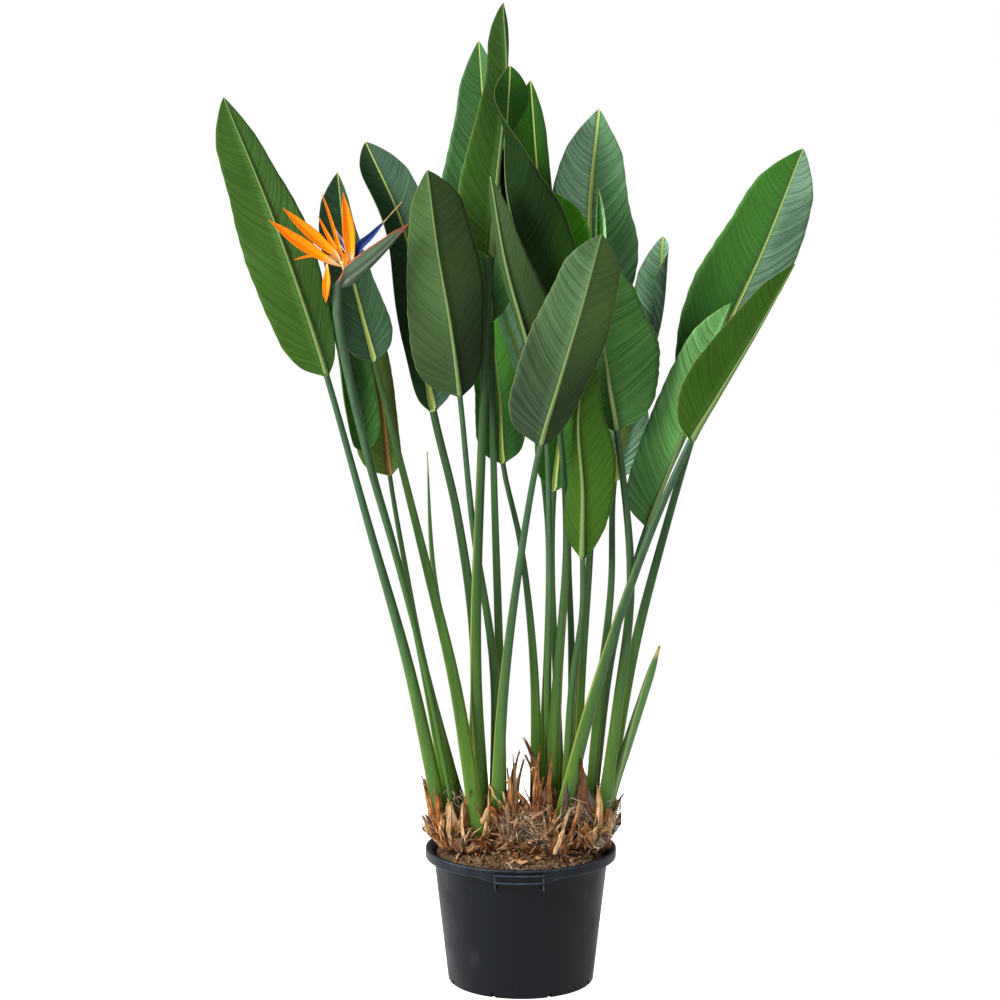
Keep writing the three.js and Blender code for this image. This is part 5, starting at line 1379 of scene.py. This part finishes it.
def spathe_finish(body, ridge):
    """The boat-shaped bract: grey-green, darker along its middle, with a band of painted sheen, a purplish
    neck and an orange-red upper edge.
    """
    made = Finish("spathe", 0.5, 0.3)
    up = made.value("up")
    edge = made.value("edge")
    # Painted highlight: a paler band of sheen across the bract, between its darker middle and its edges.
    sheen = spread(body, 1.8, 1.75, 1.8)
    made.ramp(edge, [(0.0, spread(body, 0.7)), (0.3, body), (0.55, sheen), (0.86, body)])
    made.cover(made.span(up, 1.34, 1.02), spread(body, 0.95, 0.75, 0.95))
    made.cover(made.span(up, 1.8, 2.0), spread(ridge, 0.6, 0.5, 1))
    band = made.times(made.span(edge, 0.9, 0.95), made.span(up, 1.02, 1.2))
    thin = made.times(made.span(edge, 0.965, 0.985), made.span(up, 1.04, 1.08))
    made.cover(made.maths("MAXIMUM", band, thin), ridge)
    made.shade(made.noise(made.uv(), (25, 500, 1), 3), 0.75, 1.25)
    made.shade(made.noise(made.place(), 24), 0.85, 1.15)
    return made.finish()


def spear_finish(green, tip, seam):
    """A rolled young leaf: green with fine lines along it, a pale seam and a dry tip."""
    made = Finish("spear_skin", 0.4, 0.45)
    grain = made.noise(made.uv(), (9, 600, 1), 3)
    made.ramp(made.value("up"), [(0.0, spread(green, 1.3, 1.4, 0.7)), (0.35, green),
                                 (0.93, spread(green, 0.9, 1.1, 1.0)), (0.965, tip),
                                 (1.0, spread(tip, 0.8, 0.6, 0.6))])
    made.shade(grain, 0.75, 1.25)
    made.cover(made.times(made.value("edge"), 0.8), seam)
    return made.finish(grain, 0.0005, 0.5)


def husk_finish(straw, brown, grey):
    """Dry leaf bases: straw, orange-brown or grey by husk, streaked lengthwise, paler at their edges and
    darker towards their foot, a painted shade deep in the crown.
    """
    made = Finish("dry_husk", 0.75, 0.2)
    vein = made.uv()
    streak = made.noise(vein, (35, 1300, 1), 4, 0.65)
    broad = made.noise(vein, (25, 260, 1), shift=(2, 5, 0))
    patch = made.span(made.noise(made.place(), 60, 3), 0.3, 0.7, -0.22, 0.22, "LINEAR")
    stops = [(0.0, grey), (0.3, spread(brown, 0.5, 0.45, 0.45)), (0.55, brown), (0.95, straw)]
    made.ramp(made.maths("ADD", made.value("tone"), patch), stops)
    made.cover(made.span(made.value("edge"), 0.8, 1.0, 0.0, 0.5), straw)
    # Painted shade: darker towards the foot.
    made.shade(made.span(made.value("up"), 0.0, 0.35), 0.45, 1.0)
    made.shade(made.span(streak, 0.3, 0.7), 0.45, 1.45)
    made.shade(made.span(broad, 0.3, 0.7), 0.6, 1.3)
    return made.finish(made.maths("ADD", streak, broad), 0.0016, 0.9)


def rootstock_finish(brown, grey):
    """The rootstock's own skin: fibrous, dull and very dark, partly its own colour and partly painted shade
    for the gaps deep among the husks.
    """
    made = Finish("rootstock", 0.9, 0.1)
    grain = made.noise(made.place(), (420, 420, 90), 4, 0.7)
    made.ramp(made.noise(made.place(), 45, 3),
              [(0.3, spread(grey, 0.2)), (0.7, spread(brown, 0.3, 0.35, 0.4))])
    made.shade(grain, 0.3, 1.6)
    return made.finish(grain, 0.002, 0.9)


def fibre_finish(straw, brown, grey):
    """Dry fibres and fine roots, each with its own tone, paler than the husks."""
    made = Finish("dry_fibre", 0.8, 0.2)
    old = spread(grey, 1.3, 1.4, 1.45)
    made.ramp(made.value("tone"), [(0.0, spread(old, 0.3)), (0.35, old),
                                   (0.7, spread(brown, 1.05, 1.75, 3.3)),
                                   (1.0, spread(straw, 1.2, 1.5, 2.2))])
    made.shade(made.noise(made.place(), 300), 0.6, 1.4)
    return made.finish()


def soil_finish(dark, light):
    """Damp potting soil, dark with paler crumbs."""
    made = Finish("potting_soil", 0.92, 0.15)
    grain = made.noise(made.place(), 620, 4, 0.7)
    made.ramp(made.value("tone"), [(0.0, dark), (0.75, spread(light, 0.6)), (1.0, light)])
    made.shade(grain, 0.35, 1.65)
    made.shade(made.noise(made.place(), 55, 3), 0.7, 1.3)
    return made.finish(grain, 0.0012, 0.9)


def pot_finish(colour, dust, worn):
    """Matt black nursery plastic: faint upright draw marks, scuffs, a little dried soil and painted
    highlights along the edges of its rim, grips and fins.
    """
    made = Finish("nursery_plastic", 0.42, 0.14, colour=colour)
    spot = made.place()
    marks = made.noise(spot, (70, 70, 2), 3)
    cloud = made.noise(spot, 16, 4)
    grit = made.noise(spot, 340)
    speck = made.span(made.node("TexVoronoi", {"Vector": spot, "Scale": 120}), 0.1, 0.04)
    some = made.span(made.noise(spot, 28), 0.56, 0.66)
    made.shade(marks, 0.8, 1.2)
    made.shade(cloud, 0.75, 1.25)
    made.cover(made.times(made.times(speck, some), 0.35), dust)
    made.cover(made.span(cloud, 0.62, 0.8, 0.0, 0.05), dust)
    # Painted highlight: a cool pale line on the edges, broken up by the draw marks.
    made.cover(made.times(made.value("worn"), made.span(marks, 0.25, 0.7, 0.3, 0.8)), worn)
    rough = made.span(cloud, 0.3, 0.7, 0.34, 0.52, "LINEAR")
    return made.finish(made.maths("ADD", made.times(marks, 0.5), made.times(grit, 0.12)), 0.0008, 0.4, rough)


# What a user may change

def colour_value(name, words, default):
    return FloatVectorProperty(name=name, description="Colour of " + words, subtype="COLOR", size=3,
                               min=0, max=1, default=default)


def number_value(name, words, default, **more):
    return FloatProperty(name=name, description=words, default=default, min=0, **more)


def count_value(name, words, default):
    return IntProperty(name=name, description=words, default=default, min=0)


class LeafSettings(bpy.types.PropertyGroup):
    """Sizes and colours of the leaves and their stalks."""

    blade_thickness: number_value("Blade thickness", "Thickness between the ridges", 0.0009, unit="LENGTH")
    ridge_strength: number_value("Ridges", "How much each blade's ridges stand out", 1, max=3)
    deep_colour: colour_value("Deep", "the darkest leaves", (0.026, 0.105, 0.006))
    hooded_colour: colour_value("Hooded", "the hooded leaf's inner face", (0.023, 0.1, 0.0035))
    glossy_colour: colour_value("Glossy", "the ribbed, glossy leaves", (0.034, 0.12, 0.012))
    waxy_colour: colour_value("Waxy", "the leaves with a bluish bloom", (0.034, 0.11, 0.022))
    frosted_colour: colour_value("Frosted", "the palest leaves", (0.034, 0.11, 0.022))
    olive_colour: colour_value("Olive", "the leaves that show their matt undersides", (0.055, 0.115, 0.024))
    fresh_colour: colour_value("Fresh", "the yellow-green leaves", (0.044, 0.125, 0.007))
    aged_colour: colour_value("Aged", "the oldest leaf", (0.078, 0.13, 0.008))
    # The bloom colour is also the painted sheen on the blades.
    bloom_colour: colour_value("Bloom", "the waxy bloom on a blade", (0.11, 0.19, 0.12))
    midrib_colour: colour_value("Midrib", "the midrib on the upper face", (0.4, 0.5, 0.13))
    rib_colour: colour_value("Under rib", "the rib on the under face", (0.17, 0.25, 0.08))
    margin_colour: colour_value("Margin", "the thin edge of a blade", (0.32, 0.36, 0.1))
    stalk_foot_colour: colour_value("Stalk foot", "a stalk near its foot", (0.068, 0.148, 0.006))
    stalk_colour: colour_value("Stalk", "a stalk further up", (0.04, 0.1, 0.007))
    stalk_top_colour: colour_value("Stalk top", "a stalk under its blade", (0.045, 0.09, 0.018))
    stalk_bloom_colour: colour_value("Stalk bloom", "a stalk's bluish bloom", (0.045, 0.1, 0.042))
    sheath_colour: colour_value("Sheath edge", "the edges of a stalk's sheath", (0.28, 0.3, 0.05))


class FlowerSettings(bpy.types.PropertyGroup):
    """Colours of the flower."""

    sepal_colour: colour_value("Sepals", "the sepals", (1.0, 0.26, 0.0))
    sepal_edge_colour: colour_value("Sepal edges", "the sepals' edges and tips", (0.85, 0.16, 0.004))
    petal_colour: colour_value("Blue petals", "the blue petals", (0.012, 0.026, 0.13))
    spathe_colour: colour_value("Bract", "the boat-shaped bract", (0.075, 0.12, 0.066))
    ridge_colour: colour_value("Bract edge", "the bract's upper edge", (0.5, 0.07, 0.02))


class SpearSettings(bpy.types.PropertyGroup):
    """Colours of the rolled young leaves."""

    spear_colour: colour_value("Spear", "a rolled young leaf", (0.075, 0.165, 0.035))
    tip_colour: colour_value("Tip", "its dry tip", (0.48, 0.46, 0.16))
    seam_colour: colour_value("Seam", "the lap of the roll", (0.3, 0.38, 0.12))


class CrownSettings(bpy.types.PropertyGroup):
    """Fibres and colours of the two crowns."""

    fibre_count: count_value("Fibres", "Loose fibres on each crown", 420)
    litter_count: count_value("Torn strips", "Short torn strips on each crown", 45)
    straw_colour: colour_value("Straw", "the palest husks", (0.62, 0.4, 0.2))
    brown_colour: colour_value("Brown", "the middle husks", (0.42, 0.16, 0.045))
    grey_colour: colour_value("Grey", "the oldest husks", (0.16, 0.12, 0.09))


class SoilSettings(bpy.types.PropertyGroup):
    """Crumbs, chips and straws on the soil."""

    crumb_count: count_value("Crumbs", "Crumbs of soil on the top", 2300)
    chip_count: count_value("Chips", "Pieces of bark on the top", 150)
    husk_count: count_value("Husk scraps", "Scraps of dry husk on the soil", 90)
    soil_colour: colour_value("Soil", "the soil", (0.068, 0.036, 0.019))
    chip_colour: colour_value("Bark", "the palest bark", (0.38, 0.23, 0.12))


class PotSettings(bpy.types.PropertyGroup):
    """Colours of the nursery pot."""

    pot_colour: colour_value("Pot", "the plastic", (0.0022, 0.0036, 0.0058))
    dust_colour: colour_value("Dust", "the dried soil on it", (0.16, 0.16, 0.155))
    # The colour of the painted highlights on the pot's edges.
    worn_colour: colour_value("Worn", "the plastic's worn edges", (0.09, 0.115, 0.15))


class StageSettings(bpy.types.PropertyGroup):
    """The camera, the lights and the floor."""

    camera_place: FloatVectorProperty(name="Camera place", description="Where the camera stands", size=3,
                                      subtype="TRANSLATION", unit="LENGTH", default=(-0.035, -4.34, 1.385))
    camera_dip: number_value("Camera dip", "How far the camera looks down", math.radians(7.5),
                             subtype="ANGLE")
    lens: number_value("Lens", "Focal length", 95.4, unit="CAMERA")
    key_power: number_value("Key light", "Power of the large light at the left", 330, unit="POWER")
    fill_power: number_value("Fill light", "Power of the light at the right", 14, unit="POWER")
    sky: number_value("Surround", "Light from the white surround", 0.36)
    floor_colour: colour_value("Floor", "the floor", (0.9, 0.9, 0.9))
    floor_glow: number_value("Floor glow", "Light the floor gives the plant", 0.55)
    floor_seen: number_value("Floor seen", "How bright the floor looks", 0.92)


def colours(group, *names):
    """The colours that a group holds under these names."""
    return [tuple(getattr(group, name + "_colour")) for name in names]


# Operators, one for each piece or group of like pieces

# Each set of leaf colours: roughness and sheen of the upper face, how the under face's colour differs, and
# how the width and the colour of its midrib differ.
USUAL_UNDER = (1.15, 1.05, 1.2)
TONES = [
    ("deep", 0.5, 0.12, USUAL_UNDER, 1.0, (1, 1, 1)),
    # The hooded leaf's under face, the outside of its hood, is darkened and turned bluish: painted shade.
    ("hooded", 0.5, 0.15, (0.38, 0.27, 0.6), 1.0, (1, 1, 1)),
    ("glossy", 0.46, 0.28, USUAL_UNDER, 1.0, (1, 1, 1)),
    ("waxy", 0.5, 0.3, USUAL_UNDER, 1.0, (1, 1, 1)),
    ("frosted", 0.5, 0.3, USUAL_UNDER, 1.8, (1.7, 1.7, 1.7)),
    ("olive", 0.55, 0.25, USUAL_UNDER, 1.0, (1, 1, 1)),
    ("fresh", 0.5, 0.12, USUAL_UNDER, 1.0, (1, 1, 1)),
    ("aged", 0.5, 0.2, USUAL_UNDER, 1.0, (0.85, 0.32, 0.35)),
]


class PLANT_OT_leaves(bpy.types.Operator):
    """Make every leaf, each one piece with its stalk"""

    bl_idname = "plant.make_leaves"
    bl_label = "Leaves"

    def execute(self, context):
        settings = context.scene.plant_leaves
        midrib, rib, margin, bloom = colours(settings, "midrib", "rib", "margin", "bloom")
        stalk = stalk_finish("leaf_stalk", *colours(settings, "stalk_foot", "stalk", "stalk_top",
                                                    "stalk_bloom", "sheath"))
        finishes = {}
        for tone, roughness, sheen, under, rib_width, rib_tint in TONES:
            colour, = colours(settings, tone)
            finishes[tone] = [
                blade_finish(tone + "_upper", colour, spread(midrib, *rib_tint), 1.3 * rib_width, margin,
                             bloom, roughness, sheen),
                blade_finish(tone + "_under", spread(colour, *under), spread(rib, *rib_tint), 0.8, margin,
                             bloom, roughness + 0.08, sheen * 0.7),
                stalk]
        for spec in LEAVES:
            piece = leaf_piece(spec, finishes[spec["tone"]], settings.blade_thickness,
                               settings.ridge_strength)
            stands_for(piece, "leaf", spec["name"])
        return {"FINISHED"}


class PLANT_OT_flower(bpy.types.Operator):
    """Make the flower: its stem with the boat-shaped bract, the sepals and the blue petals"""

    bl_idname = "plant.make_flower"
    bl_label = "Flower"

    def execute(self, context):
        foot, green, haze = colours(context.scene.plant_leaves, "stalk_foot", "stalk", "stalk_bloom")
        body, ridge, orange, edge, navy = colours(context.scene.plant_flower, "spathe", "ridge", "sepal",
                                                  "sepal_edge", "petal")
        bract = spathe_finish(body, ridge)
        stem = stalk_finish("flower_stem_skin", foot, green, body, haze, green)
        piece = leaf_piece(FLOWER_STEM, [bract, bract, stem], SPATHE_THICKNESS, 1)
        stands_for(piece, "flower_stem", "flower_stem")

        cream = (0.75, 0.5, 0.22)
        stops = [(0.0, cream), (0.13, cream), (0.24, spread(orange, 1, 1.3, 1)), (0.5, orange),
                 (0.88, spread(orange, 0.95, 0.75, 1)), (1.0, edge)]
        sepal = petal_finish("sepal", stops, edge, 0.88)
        parts = [petal_part(*spec) for spec in SEPALS] + [peg_part(*SEPAL_PEG)]
        stands_for(add_parts("flower_sepals_fine", parts, [sepal]), "sepal", "flower_sepals")

        # The blue petal is darker at its root: painted shade where it sits in the flower.
        blue = petal_finish("blue_petal", [(0.0, spread(navy, 0.6, 0.6, 0.5)), (0.2, navy), (0.6, navy),
                                           (0.66, (0.6, 0.45, 0.22)), (1.0, (0.6, 0.36, 0.1))],
                            (0.07, 0.16, 0.42), 0.8, 0.6)
        lilac = petal_finish("lilac_petal", [(0.0, navy), (0.3, (0.12, 0.12, 0.4)), (0.6, (0.5, 0.48, 0.62)),
                                             (1.0, navy)], (0.75, 0.72, 0.78), 0.6)
        right = add_parts("flower_petal_right_fine", [petal_part(*RIGHT_PETAL), peg_part(*RIGHT_PEG)],
                          [blue])
        stands_for(right, "petal", "flower_petal_right")
        left = add_parts("flower_petal_left_fine", [petal_part(*LEFT_PETAL), peg_part(*LEFT_PEG)], [lilac])
        stands_for(left, "petal", "flower_petal_left")
        return {"FINISHED"}


class PLANT_OT_spears(bpy.types.Operator):
    """Make the two young leaves that are still rolled into spears"""

    bl_idname = "plant.make_spears"
    bl_label = "Spears"

    def execute(self, context):
        skin_finish = spear_finish(*colours(context.scene.plant_spears, "spear", "tip", "seam"))
        for spec in SPEARS:
            piece = add_parts(spec["name"] + "_fine", [spear_part(spec)], [skin_finish])
            stands_for(piece, "spear", spec["name"])
        return {"FINISHED"}


class PLANT_OT_crowns(bpy.types.Operator):
    """Make the two crowns: rootstock, dry husks and loose fibres"""

    bl_idname = "plant.make_crowns"
    bl_label = "Crowns"

    def execute(self, context):
        settings = context.scene.plant_crowns
        dry = colours(settings, "straw", "brown", "grey")
        materials = [rootstock_finish(*dry[1:]), husk_finish(*dry), fibre_finish(*dry)]
        for crown in CROWNS:
            rng = np.random.default_rng(len(crown["name"]))
            parts = [rootstock_part(crown, rng)]
            parts += [husk_part(rng, *husk) for husk in crown["husks"]]
            for points, width, tone, twist in crown["strips"]:
                points = metres(points)
                away = (points[0][0] - metres(crown["centre"][0]), -0.1, 0)
                parts.append(strip_part(rng, points, away, metres(width), tone, twist,
                                        grid=NAMED_STRIP_GRID))
            for spec in LEAVES:
                if (spec["stalk"][0][0] < CROWN_SPLIT) == (crown["name"] == "crown_left"):
                    parts += sheath_lips(rng, spec)
            parts += torn_litter(rng, crown, settings.litter_count)
            parts += fibre_parts(rng, crown, settings.fibre_count)
            for bundle in BUNDLES[crown["name"]]:
                parts += bundle_parts(rng, *bundle)
            for tangle in TANGLES[crown["name"]]:
                parts += tangle_parts(rng, *tangle)
            stands_for(add_parts(crown["name"] + "_fine", parts, materials), "husk", crown["name"])
        return {"FINISHED"}


class PLANT_OT_soil(bpy.types.Operator):
    """Make the soil with its crumbs, bark chips and straws"""

    bl_idname = "plant.make_soil"
    bl_label = "Soil"

    def execute(self, context):
        settings = context.scene.plant_soil
        crumbs, chips = settings.crumb_count, settings.chip_count
        rng = np.random.default_rng(SOIL_SEED)
        points, faces, _, _, values = merged([soil_part(rng)])
        blocks = [(points, faces, values["tone"])]
        sizes = rng.uniform(*CRUMB_SIZE, (crumbs, 1)) * rng.uniform(0.7, 1.2, (crumbs, 3))
        places = on_soil(rng, crumbs)
        blocks.append((*scattered(rng, crumbs, places, sizes, 0.6), rng.uniform(0, 0.8, crumbs)))
        sizes = rng.uniform(*CHIP_SIZE, (chips, 1)) * np.array([1.6, 0.9, 0.4])
        places = on_soil(rng, chips) + np.array([0, 0, 0.001])
        blocks.append((*scattered(rng, chips, places, sizes, 0.3), rng.uniform(0.3, 1, chips)))
        starts = np.cumsum([0] + [len(block[0]) for block in blocks])
        points = np.vstack([block[0] for block in blocks])
        faces = np.vstack([block[1] + start for block, start in zip(blocks, starts)])
        tones = np.concatenate([np.repeat(tone, len(own) // len(tone)) for own, _, tone in blocks])
        soil = soil_finish(*colours(settings, "soil", "chip"))
        piece = add_piece("soil_fine", points, faces, [soil], uv=points[:, :2], values={"tone": tones})
        stands_for(piece, "soil", "soil")

        straws = [straw_part(rng, *straw) for straw in STRAWS]
        straws += [flat_husk_part(rng) for _ in range(settings.husk_count)]
        dry = colours(context.scene.plant_crowns, "straw", "brown", "grey")
        stands_for(add_parts("loose_straw", straws, [fibre_finish(*dry), husk_finish(*dry)]), "husk")
        return {"FINISHED"}


class PLANT_OT_pot(bpy.types.Operator):
    """Make the nursery pot with its rolled rim, grips and drain notches"""

    bl_idname = "plant.make_pot"
    bl_label = "Pot"

    def execute(self, context):
        plastic = pot_finish(*colours(context.scene.plant_pot, "pot", "dust", "worn"))
        parts = [pot_part()]
        for turn in (GRIP_TURN, GRIP_TURN + 180):
            parts += [ledge_part(turn), fin_part(True, turn), fin_part(False, turn)]
            parts += [gusset_part(-1, turn), gusset_part(1, turn)]
        piece = add_parts("pot_fine", parts, [plastic])
        piece.data.set_sharp_from_angle(angle=math.radians(POT_SHARP_ANGLE))
        stands_for(piece, "pot", "pot")
        return {"FINISHED"}


def soft_light(name, place_at, size, power):
    """A large square light that looks at the plant's middle."""
    light = bpy.data.lights.new(name, "AREA")
    light.energy = power
    light.size = size
    lamp = bpy.data.objects.new(name, light)
    lamp.location = place_at
    lamp.rotation_euler = (Vector(PLANT_MIDDLE) - Vector(place_at)).to_track_quat("-Z", "Y").to_euler()
    bpy.context.scene.collection.objects.link(lamp)


class PLANT_OT_stage(bpy.types.Operator):
    """Set up the camera, the soft lights, the white surround and the floor"""

    bl_idname = "plant.make_stage"
    bl_label = "Stage"

    def execute(self, context):
        settings = context.scene.plant_stage
        camera_data = bpy.data.cameras.new("camera")
        camera_data.sensor_width = 36
        camera_data.lens = settings.lens
        camera = bpy.data.objects.new("camera", camera_data)
        camera.location = settings.camera_place
        camera.rotation_euler = (math.radians(90) - settings.camera_dip, 0, 0)
        context.scene.collection.objects.link(camera)
        context.scene.camera = camera
        world = bpy.data.worlds.new("surround")
        world.use_nodes = True
        nodes, links = world.node_tree.nodes, world.node_tree.links
        background = nodes["Background"]
        background.inputs["Color"].default_value = (1, 1, 1, 1)
        seen = nodes.new("ShaderNodeLightPath")
        strength = nodes.new("ShaderNodeMapRange")
        strength.inputs["To Min"].default_value = settings.sky
        strength.inputs["To Max"].default_value = BACKDROP
        links.new(seen.outputs["Is Camera Ray"], strength.inputs["Value"])
        links.new(strength.outputs["Result"], background.inputs["Strength"])
        context.scene.world = world
        context.scene.view_settings.view_transform = "Standard"
        soft_light("key_light", (-3.4, -2.2, 2.9), 2.2, settings.key_power)
        soft_light("fill_light", (3.0, -2.2, 1.6), 2.6, settings.fill_power)
        corners = FLOOR_HALF * np.array([[-1, -1, 0], [1, -1, 0], [1, 1, 0], [-1, 1, 0]])
        paper = Finish("floor_paper", 0.9, 0.1, colour=colours(settings, "floor")[0])
        seen = paper.node("LightPath", {}, "Is Camera Ray")
        glow = paper.span(seen, 0.0, 1.0, settings.floor_glow, settings.floor_seen, "LINEAR")
        paper.set({"Emission Color": (1, 1, 1), "Emission Strength": glow})
        floor = add_piece("floor", corners, np.array([[0, 1, 2], [0, 2, 3]]), [paper.finish()], flat=True)
        return {"FINISHED"}


class PLANT_PT_panel(bpy.types.Panel):
    """The plant's pieces and what may be changed in them."""

    bl_idname = "PLANT_PT_panel"
    bl_label = "Potted bird of paradise"
    bl_space_type = "VIEW_3D"
    bl_region_type = "UI"
    bl_category = "Plant"

    def draw(self, context):
        for operator, name, group in STEPS:
            box = self.layout.box()
            box.operator(operator.bl_idname)
            settings = getattr(context.scene, name)
            for key in group.__annotations__:
                box.prop(settings, key)


STEPS = [
    (PLANT_OT_leaves, "plant_leaves", LeafSettings),
    (PLANT_OT_flower, "plant_flower", FlowerSettings),
    (PLANT_OT_spears, "plant_spears", SpearSettings),
    (PLANT_OT_crowns, "plant_crowns", CrownSettings),
    (PLANT_OT_soil, "plant_soil", SoilSettings),
    (PLANT_OT_pot, "plant_pot", PotSettings),
    (PLANT_OT_stage, "plant_stage", StageSettings),
]


def register():
    for operator, name, group in STEPS:
        bpy.utils.register_class(group)
        setattr(bpy.types.Scene, name, PointerProperty(type=group))
        bpy.utils.register_class(operator)
    bpy.utils.register_class(PLANT_PT_panel)


def unregister():
    bpy.utils.unregister_class(PLANT_PT_panel)
    for operator, name, group in reversed(STEPS):
        bpy.utils.unregister_class(operator)
        delattr(bpy.types.Scene, name)
        bpy.utils.unregister_class(group)


def main():
    """Builds every piece in order."""
    register()
    for operator, _, _ in STEPS:
        family, name = operator.bl_idname.split(".")
        getattr(getattr(bpy.ops, family), name)()


if __name__ == "__main__":
    main()
